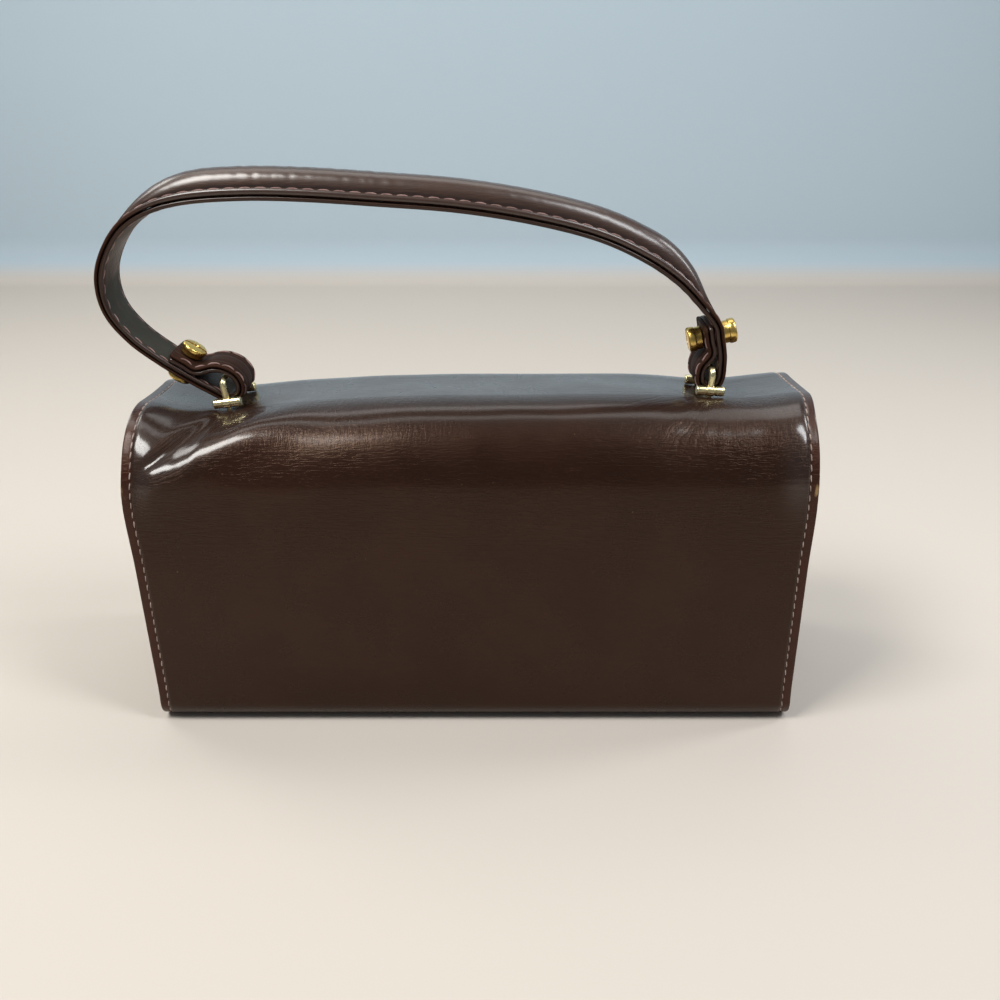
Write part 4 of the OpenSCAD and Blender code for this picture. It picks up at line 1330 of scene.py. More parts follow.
@dataclass
class StrapHandle:
    """The padded strap: upper leather, underside, filler and the stitches of both edges."""

    route: StrapRoute
    upper: Material
    under: Material
    felt: Material
    thread: Material
    step: float = 0.75
    corner_r: float = 1.6
    end_grooves: tuple = ((5.6, 0.35), (3.4, 0.5))
    groove_deep: float = 0.28
    seam_deep: float = 0.3
    wrinkle_lengths: tuple = (2.6, 3.7, 5.6)
    wrinkle_h: tuple = (0.03, 0.10)
    wrinkle_at: float = -36.0
    wrinkle_w: float = 30.0
    stitch_share: float = 0.86
    stitch_slant: float = 8.0
    stitch_bow: float = 0.5

    def build(self) -> None:
        """Makes the parts of the strap."""
        s = self.route.strap
        u, length, place, normal = self.route.stations(self.step)
        share = self.route.crown_share(u)[:, None]
        end = np.minimum(length, length[-1] - length)
        r = self.corner_r
        narrow = 1 - (r - np.sqrt(np.maximum(0, r ** 2 - np.maximum(0, r - end) ** 2))) / s.half_w
        narrow = narrow[:, None]
        v, up, flat = self.section()
        crown_v = np.clip(np.abs(v) / s.crown_half, 0, 1)
        crown = s.crown_h * (1 - crown_v ** 2.15) ** 0.56
        full = (share - s.end_share) / (1 - s.end_share)
        top = s.upper_t + s.arch_edge * full
        width = v[None] * narrow
        b = s.seat + (top - s.seat) * up[None] + crown[None] * share
        wrinkles = self.wrinkles(length[:, None], v[None], place[:, :1])
        dip = self.seam_deep * bell(np.abs(v) - s.stitch_at, 0.4)[None] * flat[None]
        grooves = sum(bell(np.abs(v) - at, w) for at, w in self.end_grooves)
        dip = dip + self.groove_deep * grooves[None] * (1 - full)
        b = b + wrinkles * (np.abs(v) < s.crown_half)[None] * ease((share - 0.1) / 0.5) - dip
        rows = (narrow > 0)[:, 0]
        outer = self.sweep(place, normal, width, b)
        low = self.hollow(v, share)
        inner = self.sweep(place, normal, width * 0.985, low)
        # Edge: the rims and flanges take their own dark edge colour; the folded ends about the rods take it too, as
        # painted shade of the loops.
        values = {"edge": np.maximum((np.abs(v) > s.crown_half - 0.2)[None], 1 - full) + 0 * b,
                  "crease": ease((share - 0.3) / 0.5) * bell(np.abs(v) - 3, 3.2)[None],
                  "worn": bell(np.abs(v) - s.half_w, 0.35)[None] + 0 * b, "shine": full + 0 * b}
        obj = shell("strap_leather", outer[rows], inner[rows], values, 48)
        mount(obj, self.upper, Slot.LEATHER, HANDLE, "strap_upper")
        self.underside(place, normal, narrow, length)
        self.filler(place, normal, share)
        self.threads(u, place, normal, share)

    def rim(self, count: int) -> tuple[Array, Array]:
        """Round side of one leather: places across, and shares of its thickness from the joint out.

        At the share t the side stands in by d * |2t - 1|^2.6, so a groove stays between both leathers.
        """
        t = np.linspace(0, 1, count)
        return self.route.strap.half_w - self.route.strap.edge_round * np.abs(2 * t - 1) ** 2.6, t

    def section(self) -> tuple[Array, Array, Array]:
        """Places across the strap, shares of the edge's height there, and 1 where it is flat.

        Returns:
            Three arrays from the left side over the middle to the right side.
        """
        s = self.route.strap
        rim_v, rim_t = self.rim(9)
        flat_v = np.array([7.5, 7.3, 7.1, 6.9, 6.7, 6.45, 6.25])
        crown_v = s.crown_half * np.sin(np.linspace(np.pi / 2, 0, 13))
        half_v = np.concatenate([rim_v, flat_v, crown_v])
        half_t = np.concatenate([rim_t, 0 * flat_v + 1, 0 * crown_v + 1])
        flat = np.concatenate([0 * rim_v, 0 * flat_v + 1, 0 * crown_v])
        return tuple(np.concatenate([sign * half, half[-2::-1]])
                     for sign, half in ((-1, half_v), (1, half_t), (1, flat)))

    def hollow(self, v: Array, share: Array) -> Array:
        """Height of the upper leather's inner face: half an ellipse, h * sqrt(1 - (v / w)^2), on a low seat.

        Args:
            v: Places across the strap, shape (cols,).
            share: Share of the full crown, shape (rows, 1).

        Returns:
            Heights, shape (rows, cols).
        """
        s = self.route.strap
        w = s.crown_half - 1.25
        full = s.crown_h + s.arch_edge - 2 * s.seat
        h = s.seat + (full - s.seat) * (share - s.end_share) / (1 - s.end_share)
        arch = np.sqrt(np.maximum(0, 1 - (v / w) ** 2))[None]
        return s.seat + s.seat * (np.abs(v) < 7.9)[None] + 0.94 * h * arch

    def wrinkles(self, length: Array, v: Array, x: Array) -> Array:
        """Slanted cross wrinkles of the padded leather: round folds with sharp valleys between them.

        Each wavelength adds |sin| of the length along the strap, moved by a slow wander and a
        slant; patches of waves weaken the sum, and a bell about one place strengthens it.

        Args:
            length: Length along the strap, shape (rows, 1).
            v: Place across the strap, shape (1, cols).
            x: Place along the bag, shape (rows, 1).

        Returns:
            Heights, shape (rows, cols).
        """
        rng = np.random.default_rng(7)
        total = np.zeros(np.broadcast(length, v).shape)
        for wavelength in self.wrinkle_lengths:
            phase = rng.uniform(0, 2 * np.pi)
            wander = 1.6 * np.sin(length / rng.uniform(14, 23) + v * rng.uniform(0.15, 0.3) + phase)
            slant = v * rng.uniform(0.35, 0.75)
            fold = np.abs(np.sin(np.pi * (length + wander + slant) / wavelength + phase)) - 0.64
            total = total + fold * wavelength / 4
        patch = 0.5 + 0.5 * np.sin(length / 9.3 + 0.8) * np.sin(length / 17 + 2.0 + v * 0.1)
        low, more = self.wrinkle_h
        return (low + more * bell(x - self.wrinkle_at, self.wrinkle_w)) * total * np.clip(patch, 0.2, 1)

    @staticmethod
    def sweep(place: Array, normal: Array, v: Array, b: Array) -> Array:
        """Points of a section carried along the route: place + b * normal, v across.

        Args:
            place: Places in the X-Z plane, shape (rows, 2).
            normal: Normals there, same shape.
            v: Places across the strap.
            b: Heights along the normal, shape (rows, cols).

        Returns:
            Points, shape (rows, cols, 3).
        """
        x = place[:, :1] + normal[:, :1] * b
        z = place[:, 1:] + normal[:, 1:] * b
        return np.stack([x, v + 0 * x, z], -1)

    def underside(self, place: Array, normal: Array, narrow: Array, length: Array) -> None:
        """Makes the inner leather, rounded at its outer corners and worn along its edges.

        Args:
            place: Stations in the X-Z plane, shape (rows, 2).
            normal: Normals there.
            narrow: Share of the full width, shape (rows, 1).
            length: Length along the strap, shape (rows,).
        """
        s = self.route.strap
        rim_v, rim_t = self.rim(9)
        flat_v = np.array([7.5, 7.3, 7.1, 6.9, 6.7, 6.2, 5, 3, 1.2, 0])
        half_v = np.concatenate([rim_v, flat_v])
        half_t = np.concatenate([rim_t, 0 * flat_v + 1])
        v = np.concatenate([-half_v, half_v[-2::-1]])
        t = np.concatenate([half_t, half_t[-2::-1]])
        b = -s.seat - (s.under_t - s.seat) * t[None] + 0 * length[:, None]
        worn = waves(length[:, None], v[None] * 2, 41, 14)
        b = b + (0.16 * bell(np.abs(v) - s.stitch_at, 0.45) * (t == 1))[None]
        b = b + 0.03 * worn * (np.abs(v) < 6.5)[None]
        outer = self.sweep(place, normal, v[None] * narrow, b)
        inner = self.sweep(place, normal, v[None] * narrow * 0.99, 0 * b - s.seat)
        edge = ease((np.abs(v) - s.half_w + 1.3) / 0.5)[None] + 0 * b
        bend = bell(place[:, 1:] - s.roof_top - 0.3 * s.rise, 0.16 * s.rise) * ease((-place[:, :1] - 90) / 12)
        values = {"edge": edge, "crease": 0 * b, "shine": 0.5 * edge,
                  "worn": np.clip(bend * (1.1 + 0.35 * worn) * (1 - edge), 0, 1)}
        obj = shell("strap_inner_leather", outer, inner, values, 48)
        mount(obj, self.under, Slot.STRAP_LINING, HANDLE, "strap_underside")

    def filler(self, place: Array, normal: Array, share: Array) -> None:
        """Makes the felt under the crown.

        Args:
            place: Stations in the X-Z plane, shape (rows, 2).
            normal: Normals there.
            share: Share of the full crown, shape (rows, 1).
        """
        s = self.route.strap
        rows = share[:, 0] > 0.55
        t = np.linspace(-1, 1, 21)
        w = (s.crown_half - 1.35) * 0.93
        h = (s.crown_h + s.arch_edge - 0.6) * (share[rows] - s.end_share) / (1 - s.end_share)
        top = 0.3 + 0.88 * h * np.sqrt(np.maximum(0, 1 - t[None] ** 2))
        width = w * t[None] + 0 * top
        outer = self.sweep(place[rows], normal[rows], width, top)
        inner = self.sweep(place[rows], normal[rows], width, 0 * top + 0.22)
        mount(shell("strap_filler", outer, inner), self.felt, Slot.FELT, HANDLE, "strap_core")

    def threads(self, u: Array, place: Array, normal: Array, share: Array) -> None:
        """Makes the stitches of both edges, on the upper and on the inner face.

        Args:
            u: Stations in points of the route.
            place: Stations in the X-Z plane.
            normal: Normals there.
            share: Share of the full crown, shape (rows, 1).
        """
        s = self.route.strap
        rings = []
        top = s.upper_t + s.arch_edge * (share - s.end_share) / (1 - s.end_share)
        for side in (-1, 1):
            for face, height in ((1, top - 0.16), (-1, 0 * top - s.under_t + 0.22)):
                line = self.sweep(place, normal, np.full((len(u), 1), side * s.stitch_at), height)[:, 0]
                keep = slice(4, -4)
                centre, way, at = spaced(line[keep], s.stitch_pitch)
                at = at + 4
                n = np.stack([np.interp(at, np.arange(len(u)), normal[:, k]) for k in (0, 1)], 1)
                out = squared(face * grid_of(n[:, 0], 0 * at, n[:, 1]), way)
                turn = -side * face
                rings.append(stitch_rings(centre, way, out, self.stitch_share * s.stitch_pitch,
                                          0.24 + 0.03 * face, turn * self.stitch_slant, turn * self.stitch_bow))
        mount(many_tubes("strap_threads", np.concatenate(rings)), self.thread, None, HANDLE)


@dataclass
class Hardware:
    """Brass staples, saddle bars and studs."""

    form: RoofForm
    size: HardwareSize
    route: StrapRoute
    pale: Material
    gold: Material

    def build(self) -> None:
        """Makes both staples with their bars, and both studs."""
        for name, x in (("left", self.size.left_x), ("right", self.size.right_x)):
            pose = StaplePose(self.form, self.size, x)
            self.staple(name, pose)
            self.bars(name, pose)
            self.stud(name)

    def staple(self, name: str, pose: StaplePose) -> None:
        """Makes one bent rod with its thin prongs and riveted ends.

        Args:
            name: Side of the bag.
            pose: Place and lean of the staple.
        """
        s = self.size
        path = []
        for side in (-1, 1):
            y = side * s.leg_y
            foot = pose.offset(y)
            low = foot - (s.washer_top + s.washer_t + s.rivet_t + 0.1)
            leg = [(y, low, 0.2), (y, low, s.rivet_r - 0.15), (y, low + 0.12, s.rivet_r),
                   (y, low + s.rivet_t, s.rivet_r), (y, low + s.rivet_t + 0.01, s.prong_r),
                   (y, foot + 0.09, s.prong_r), (y, foot + 0.1, s.rod_r), (y, s.rise - s.bend_r, s.rod_r)]
            a = np.linspace(0, np.pi / 2, 11)[1:]
            bend = [(side * (s.leg_y - s.bend_r + s.bend_r * np.cos(t)), s.rise - s.bend_r + s.bend_r * np.sin(t),
                     s.rod_r) for t in a]
            run = leg + bend
            path += run if side < 0 else run[::-1]
        path = np.array(path)
        tangent = np.gradient(path[:, :2], axis=0)
        tangent[:8] = (0, 1)
        tangent[-8:] = (0, -1)
        tangent = tangent / np.linalg.norm(tangent, axis=1)[:, None]
        a = np.arange(28) * 2 * np.pi / 28
        across = np.stack([-tangent[:, 1], tangent[:, 0]], 1)
        radii = path[:, 2]
        y = path[:, :1] + radii[:, None] * np.sin(a)[None] * across[:, :1]
        z = path[:, 1:2] + radii[:, None] * np.sin(a)[None] * across[:, 1:]
        x = radii[:, None] * np.cos(a)[None]
        rings = pose.out(np.stack([x, y, z], -1))
        mount(tube(f"staple_rod_{name}", rings), self.pale, Slot.PALE_BRASS, FLAP, f"staple_{name}")

    def bars(self, name: str, pose: StaplePose) -> None:
        """Makes the two saddle bars, turned with a collar between two grooves.

        Args:
            name: Side of the bag.
            pose: Place and lean of the staple.
        """
        s = self.size
        a = np.linspace(0, np.pi / 2, 6)
        half, c = s.bar_len / 2, s.collar_w / 2
        end_r = 0.45
        cap = [(s.bar_r - end_r + end_r * np.sin(t), -half + end_r - end_r * np.cos(t)) for t in a]
        ring = [(s.bar_r, -c - 0.55), (s.bar_r - 0.16, -c - 0.4), (s.bar_r - 0.18, -c - 0.2),
                (s.bar_r - 0.12, -c - 0.05), (s.collar_r - 0.12, -c), (s.collar_r, -c + 0.14), (s.collar_r, -0.1)]
        left = np.array([(0.1, -half)] + cap + ring)
        profile = np.concatenate([left, left[::-1] * [1, -1]])
        every = []
        for y in (-s.leg_y, s.leg_y):
            rings = lathe(profile, np.array([0.0, y, pose.offset(y)]), np.array([1.0, 0.0, 0.0]), 44)
            every.append(pose.out(rings))
        obj = many_tubes(f"saddle_pair_{name}", np.array(every), 35)
        mount(obj, self.pale, Slot.PALE_BRASS, FLAP, f"saddle_bars_{name}")

    def stud(self, name: str) -> None:
        """Makes the post and the screw of one stud.

        Args:
            name: Side of the bag.
        """
        s = self.size
        centre, axis, grip = self.route.studs[name]
        origin = np.array([centre[0], 0.0, centre[1]])
        z = np.array([axis[0], 0.0, axis[1]])
        x = np.array([axis[1], 0.0, -axis[0]])
        y = np.array([0.0, 1.0, 0.0])
        low = s.left_stud_share if name == "left" else 1.0
        post = self.head(-1, s.barrel_r, 2 * grip - 0.3, False, low)
        screw = self.head(1, s.screw_r, 2 * grip - 0.9, True, low)
        for kind, rings, at in (("post", post, -grip), ("screw", screw, grip)):
            points = origin + rings[..., :1] * x + rings[..., 1:2] * y + (rings[..., 2:] + at) * z
            obj = tube(f"stud_{kind}_head_{name}", points, sharp_deg=32)
            mount(obj, self.gold, Slot.GOLD_BRASS, HANDLE, f"stud_{kind}_{name}")

    def head(self, up: int, shank_r: float, shank: float, slotted: bool, low_share: float) -> Array:
        """Rings of a stepped head on its shank, from the shank's end to the middle of the top.

        The ring's points at the slot lie at its floor wherever the form is higher than that.

        Args:
            up: 1 for a head that points along the axis, -1 for the other way.
            shank_r: Radius of the shank.
            shank: Length of the shank.
            slotted: With a screwdriver's slot across the top.
            low_share: Height of the head as a share of the full one, where it is pressed in.

        Returns:
            Rings in the stud's own frame, shape (stations, points in a ring, 3).
        """
        s = self.size
        r, low, top = s.stud_r, s.stud_step * low_share, (s.stud_step + s.stud_cap) * low_share
        waist = r - 0.35
        dome = 0.25
        side = [(shank_r - 0.2, -shank), (shank_r, -shank + 0.2), (shank_r, 0), (waist - 0.25, 0), (waist, 0.25),
                (waist, low - 0.2), (waist + 0.08, low), (r - 0.42, low), (r - 0.12, low + 0.12), (r, low + 0.42),
                (r, top - 0.75), (r - 0.06, top - 0.5), (r - 0.22, top - 0.27), (r - 0.48, top - 0.12)]
        disc = [(k * (r - 0.48), top - 0.12 + dome * (1 - k ** 2)) for k in (0.97, 0.9, 0.75, 0.5, 0.25, 0.06)]
        profile = np.array(side + disc)
        base = np.linspace(0, 2 * np.pi, 61)[:-1]
        rings = []
        for radius, height in profile:
            in_slot = slotted and height > top - s.slot_deep - 0.01 and radius > s.slot_w / 2
            edge = np.arcsin(min(s.slot_w / 2 / radius, 1.0)) if in_slot else 0.09
            jumps = np.array([edge, np.pi - edge, np.pi + edge, 2 * np.pi - edge])
            a = np.sort(np.concatenate([base, jumps - 1e-4, jumps + 1e-4]))
            y = radius * np.sin(a)
            z = np.full_like(a, height)
            if slotted and height > top - s.slot_deep:
                z = np.where(np.abs(y) < s.slot_w / 2 - 1e-6, top - s.slot_deep, z)
            rings.append(np.stack([radius * np.cos(a), y, z * up], 1))
        return np.array(rings)


# Finishes


class NodeGraph:
    """Short ways to add and join the nodes of a material or a node group."""

    def __init__(self, tree: bpy.types.NodeTree) -> None:
        """Keeps the tree and empties it.

        Args:
            tree: The node tree to write.
        """
        self.tree = tree
        tree.nodes.clear()

    def add(self, kind: str, values: dict | None = None, **settings) -> bpy.types.Node:
        """Adds a node, sets its properties and links or sets its inputs.

        Args:
            kind: Type name of the node.
            values: Input values or output sockets by input name or number.
            **settings: Properties of the node.

        Returns:
            The new node.
        """
        node = self.tree.nodes.new(kind)
        for key, value in settings.items():
            setattr(node, key, value)
        return self.feed(node, values or {})

    def feed(self, node: bpy.types.Node, values: dict) -> bpy.types.Node:
        """Links or sets inputs of a node, by name or number.

        Args:
            node: The node.
            values: Values or output sockets by the input's name or number.

        Returns:
            The node.
        """
        for key, value in values.items():
            if isinstance(value, Socket):
                self.tree.links.new(value, node.inputs[key])
            else:
                node.inputs[key].default_value = value
        return node

    def math(self, operation: str, a: Number, b: Number = 0.0, clamp: bool = False) -> Socket:
        """Result of a math node on a and b."""
        return self.add("ShaderNodeMath", {0: a, 1: b}, operation=operation, use_clamp=clamp).outputs[0]

    def times(self, a: Number, b: Number) -> Socket:
        """Product of a and b."""
        return self.math("MULTIPLY", a, b)

    def plus(self, a: Number, b: Number, clamp: bool = False) -> Socket:
        """Sum of a and b."""
        return self.math("ADD", a, b, clamp)

    def ramp(self, value: Number, low: float, high: float, to_low: float = 0.0,
             to_high: float = 1.0) -> Socket:
        """Value mapped smoothly from low..high to to_low..to_high."""
        node = self.add("ShaderNodeMapRange", {"Value": value, "From Min": low, "From Max": high,
                                               "To Min": to_low, "To Max": to_high},
                        interpolation_type="SMOOTHSTEP")
        return node.outputs["Result"]

    def mix(self, factor: Number, a: Colour, b: Colour) -> Socket:
        """Colour between two others.

        Args:
            factor: Share of the second colour.
            a: First colour.
            b: Second colour.

        Returns:
            The mixed colour.
        """
        node = self.add("ShaderNodeMix", {"Factor": factor}, data_type="RGBA")
        for key, value in ((6, a), (7, b)):
            self.feed(node, {key: value if isinstance(value, Socket) else (*value, 1.0)})
        return node.outputs[2]

    def noise(self, vector: Socket, scale: float, detail: float = 3.0,
              roughness: float = 0.55) -> Socket:
        """Noise of a scale per metre."""
        return self.add("ShaderNodeTexNoise", {"Vector": vector, "Scale": scale, "Detail": detail,
                                               "Roughness": roughness}).outputs["Fac"]

    def stretched(self, vector: Socket, scale: Triple) -> Socket:
        """Vector multiplied by a scale for each axis."""
        return self.add("ShaderNodeMapping", {"Vector": vector, "Scale": scale}).outputs["Vector"]


def new_group(name: str, inputs: tuple[str, ...], outputs: tuple[str, ...]) -> tuple[NodeGraph, bpy.types.Node]:
    """New node group with a Vector input and named number sockets, and its input node.

    Args:
        name: Name of the group.
        inputs: Names of its number inputs.
        outputs: Names of its number outputs.

    Returns:
        The graph of the group, and its input node.
    """
    tree = bpy.data.node_groups.new(name, "ShaderNodeTree")
    g = NodeGraph(tree)
    tree.interface.new_socket("Vector", in_out="INPUT", socket_type="NodeSocketVector")
    for in_out, keys in (("INPUT", inputs), ("OUTPUT", outputs)):
        for key in keys:
            tree.interface.new_socket(key, in_out=in_out, socket_type="NodeSocketFloat")
    return g, g.add("NodeGroupInput")


def grain_group() -> bpy.types.NodeTree:
    """Node group of leather grain: fine pores and hair-thin creases as one height.

    Returns:
        Group with the inputs Vector, Pores, Creases (along the panel), Cross (wrinkles across it),
        Fan (phase of the pleats) and Pleat (their amount), and the outputs Height and Mottle.
    """
    amounts = ("Pores", "Creases", "Cross", "Fan", "Pleat")
    g, start = new_group("LeatherGrain", amounts, ("Height", "Mottle"))
    vector = start.outputs["Vector"]
    pores, creases, cross, fan, pleat = (start.outputs[key] for key in amounts)
    cells = g.add("ShaderNodeTexVoronoi", {"Vector": vector, "Scale": 1500.0}, feature="SMOOTH_F1")
    fine = g.noise(vector, 900.0, 4.0, 0.6)
    pore_height = g.times(g.plus(cells.outputs["Distance"], g.times(fine, 0.8)), pores)
    lines = g.noise(g.stretched(vector, (0.14, 1.0, 1.0)), 800.0, 3.0, 0.6)
    ridged = g.math("ABSOLUTE", g.math("SUBTRACT", lines, 0.5))
    crease_height = g.times(g.ramp(ridged, 0.0, 0.12), creases)
    height = g.plus(pore_height, g.times(crease_height, 1.6))
    upright = g.noise(g.stretched(vector, (1.0, 0.22, 0.22)), 620.0, 3.0, 0.6)
    upright = g.ramp(g.math("ABSOLUTE", g.math("SUBTRACT", upright, 0.5)), 0.0, 0.12)
    height = g.plus(height, g.times(upright, g.times(cross, 1.5)))
    bent = g.plus(fan, g.times(g.noise(vector, 70.0, 3.0), 0.5))
    for rate, size in ((17.0, 2.6), (37.0, 1.5)):
        pleats = g.math("ABSOLUTE", g.math("SINE", g.times(bent, rate)))
        height = g.plus(height, g.times(g.ramp(pleats, 0.0, 0.7), g.times(pleat, size)))
    g.add("NodeGroupOutput", {"Height": height, "Mottle": g.noise(vector, 28.0, 5.0, 0.6)})
    return g.tree


def tarnish_group() -> bpy.types.NodeTree:
    """Node group of handled metal: a duller film and small scratches.

    Returns:
        Group with the input Vector and the outputs Film and Roughness.
    """
    g, start = new_group("HandledMetal", (), ("Film", "Roughness"))
    vector = start.outputs["Vector"]
    film = g.ramp(g.noise(vector, 260.0, 5.0, 0.65), 0.42, 0.68)
    scratch = g.noise(g.stretched(vector, (1.0, 0.12, 1.0)), 2600.0, 2.0)
    rough = g.plus(g.times(film, 0.16), g.times(scratch, 0.14))
    g.add("NodeGroupOutput", {"Film": film, "Roughness": g.plus(rough, 0.16)})
    return g.tree


@dataclass(frozen=True)
class LeatherFinish:
    """Finish of a leather: colours are linear, sizes in metres."""

    base: Triple = (0.0160, 0.0058, 0.0034)
    light: Triple = (0.0212, 0.0078, 0.0046)
    edge: Triple = (0.036, 0.0105, 0.0065)
    rubbed: Triple = (0.30, 0.19, 0.085)
    rough_low: float = 0.25
    rough_high: float = 0.33
    specular: float = 0.3
    tint: Triple = (1.0, 0.64, 0.45)
    coat: float = 0.1
    shine: float = 0.8
    coat_rough: float = 0.17
    coat_ior: float = 1.65
    pores: float = 0.2
    creases: float = 0.75
    depth: float = 0.00006
    edge_rough: float = 0.08
    pleat_rough: float = 0.16


@dataclass(frozen=True)
class MetalFinish:
    """Finish of a brass part: linear colours of clean and tarnished metal."""

    clean: Triple = (0.95, 0.85, 0.50)
    film: Triple = (0.78, 0.66, 0.35)


@dataclass(frozen=True)
class ClothFinish:
    """Finish of a woven or felted part."""

    base: Triple = (0.34, 0.22, 0.115)
    # Colour of the painted shade in the hollows of the weave or felt, and of its darker mottle.
    shade: Triple = (0.22, 0.135, 0.07)
    weave: float = 900.0
    woven: bool = True
    rough: float = 0.9
    sheen: float = 0.25
    specular: float = 0.2


class Finishes:
    """Makes the materials from their finishes."""

    def __init__(self) -> None:
        """Makes the node groups that the materials share."""
        self.grain = grain_group()
        self.tarnish = tarnish_group()

    @staticmethod
    def start(name: str) -> tuple[Material, NodeGraph, bpy.types.Node, Socket]:
        """New material with its shader joined to the output, and its object coordinates.

        Args:
            name: Name of the material.

        Returns:
            The material, its graph, its shader and its coordinates.
        """
        material = bpy.data.materials.new(name)
        material.use_nodes = True
        g = NodeGraph(material.node_tree)
        shader = g.add("ShaderNodeBsdfPrincipled")
        g.add("ShaderNodeOutputMaterial", {"Surface": shader.outputs[0]})
        return material, g, shader, g.add("ShaderNodeTexCoord").outputs["Object"]

    def leather(self, name: str, finish: LeatherFinish) -> Material:
        """Leather whose edges, creases and rubbed spots come from the piece's attributes; on the strap the edge
        value also darkens the folded ends as painted shade.

        Args:
            name: Name of the material.
            finish: Its finish.

        Returns:
            The material.
        """
        material, g, shader, vector = self.start(name)
        edge, crease, worn, shine, fan, pleat, cross = (
            g.add("ShaderNodeAttribute", attribute_name=key).outputs["Fac"]
            for key in ("edge", "crease", "worn", "shine", "fan", "pleat", "cross"))
        grain = g.add("ShaderNodeGroup", node_tree=self.grain)
        g.feed(grain, {"Vector": vector, "Pores": finish.pores, "Creases": g.times(crease, finish.creases),
                       "Cross": cross, "Fan": fan, "Pleat": pleat})
        mottle = g.ramp(grain.outputs["Mottle"], 0.38, 0.66)
        colour = g.mix(mottle, finish.base, finish.light)
        patchy = g.ramp(g.noise(vector, 190.0), 0.3, 0.6, 0.5, 1.0)
        colour = g.mix(g.times(edge, patchy), colour, finish.edge)
        specks = g.ramp(g.noise(vector, 420.0, 2.0), 0.775, 0.79)
        rubbed = g.times(g.ramp(worn, 0.25, 0.6), g.ramp(g.noise(vector, 330.0, 4.0), 0.3, 0.62, 0.45, 1.0))
        rubbed = g.math("MAXIMUM", rubbed, g.times(specks, 0.5))
        colour = g.mix(rubbed, colour, finish.rubbed)
        rough = g.ramp(g.noise(vector, 60.0, 4.0), 0.3, 0.7, finish.rough_low, finish.rough_high)
        rough = g.plus(rough, g.times(edge, finish.edge_rough))
        rough = g.plus(rough, g.times(pleat, finish.pleat_rough))
        rough = g.plus(rough, g.times(rubbed, 0.25), True)
        bump = g.add("ShaderNodeBump", {"Height": grain.outputs["Height"], "Distance": finish.depth,
                                        "Strength": 1.0})
        g.feed(shader, {"Base Color": colour, "Roughness": rough, "Normal": bump.outputs[0],
                        "Specular IOR Level": finish.specular, "Specular Tint": (*finish.tint, 1.0),
                        "Coat Weight": g.ramp(shine, 0.0, 1.0, finish.coat, finish.shine),
                        "Coat Roughness": finish.coat_rough, "Coat IOR": finish.coat_ior})
        return material

    def metal(self, name: str, finish: MetalFinish) -> Material:
        """Brass with a partly worn film.

        Args:
            name: Name of the material.
            finish: Its finish.

        Returns:
            The material.
        """
        material, g, shader, vector = self.start(name)
        film = g.feed(g.add("ShaderNodeGroup", node_tree=self.tarnish), {"Vector": vector})
        g.feed(shader, {"Base Color": g.mix(film.outputs["Film"], finish.clean, finish.film),
                        "Roughness": film.outputs["Roughness"], "Metallic": 1.0})
        return material

    def cloth(self, name: str, finish: ClothFinish) -> Material:
        """Woven cotton or felt.

        Args:
            name: Name of the material.
            finish: Its finish.

        Returns:
            The material.
        """
        material, g, shader, vector = self.start(name)
        mottle = g.ramp(g.noise(vector, 45.0, 5.0), 0.3, 0.7)
        if finish.woven:
            bands = {"Vector": vector, "Scale": finish.weave / 6, "Distortion": 0.6}
            weft, warp = (g.add("ShaderNodeTexWave", bands, bands_direction=way).outputs["Fac"] for way in "XZ")
            height = g.math("MAXIMUM", weft, warp)
        else:
            height = g.noise(vector, finish.weave, 6.0, 0.7)
        # Where the weave or felt lies low the colour turns to the shade colour: painted shade in its hollows, on
        # top of random mottle.
        shade = g.times(g.math("SUBTRACT", 1.0, height), 0.6)
        colour = g.mix(g.plus(g.times(mottle, 0.4), shade, True), finish.base, finish.shade)
        bump = g.add("ShaderNodeBump", {"Height": height, "Distance": 0.00012, "Strength": 0.8})
        g.feed(shader, {"Base Color": colour, "Normal": bump.outputs[0], "Roughness": finish.rough,
                        "Sheen Weight": finish.sheen, "Specular IOR Level": finish.specular})
        return material

    def plain(self, name: str, colour: Triple, other: Triple,
              roughness: float, metallic: float = 0.0, scale: float = 240.0) -> Material:
        """Plain material, mottled between two colours.

        Args:
            name: Name of the material.
            colour: Main colour.
            other: Colour of the spots.
            roughness: Its roughness.
            metallic: 1 for a metal.
            scale: Spots per metre.

        Returns:
            The material.
        """
        material, g, shader, vector = self.start(name)
        spots = g.ramp(g.noise(vector, scale, 5.0, 0.65), 0.35, 0.65)
        bump = g.add("ShaderNodeBump", {"Height": g.noise(vector, scale * 6, 4.0), "Distance": 0.00008,
                                        "Strength": 0.6})
        g.feed(shader, {"Base Color": g.mix(spots, colour, other), "Normal": bump.outputs[0],
                        "Roughness": roughness, "Metallic": metallic})
        return material


# Camera, light and the whole bag


@dataclass(frozen=True)
class Lamp:
    """Soft rectangular light, in metres and watts, that points from one place toward another."""

    name: str
    at: Triple
    toward: Triple
    size: tuple[float, float]
    power: float
    colour: Triple

    def build(self) -> None:
        """Adds the light to the scene."""
        data = bpy.data.lights.new(self.name, "AREA")
        data.shape = "RECTANGLE"
        data.size, data.size_y = self.size
        data.energy, data.color = self.power, self.colour
        obj = bpy.data.objects.new(self.name, data)
        obj.location = self.at
        way = np.array(self.toward) - np.array(self.at)
        flat = np.hypot(way[0], way[1])
        obj.rotation_euler = (np.arctan2(flat, -way[2]), 0, np.arctan2(-way[0], way[1]))
        bpy.context.scene.collection.objects.link(obj)


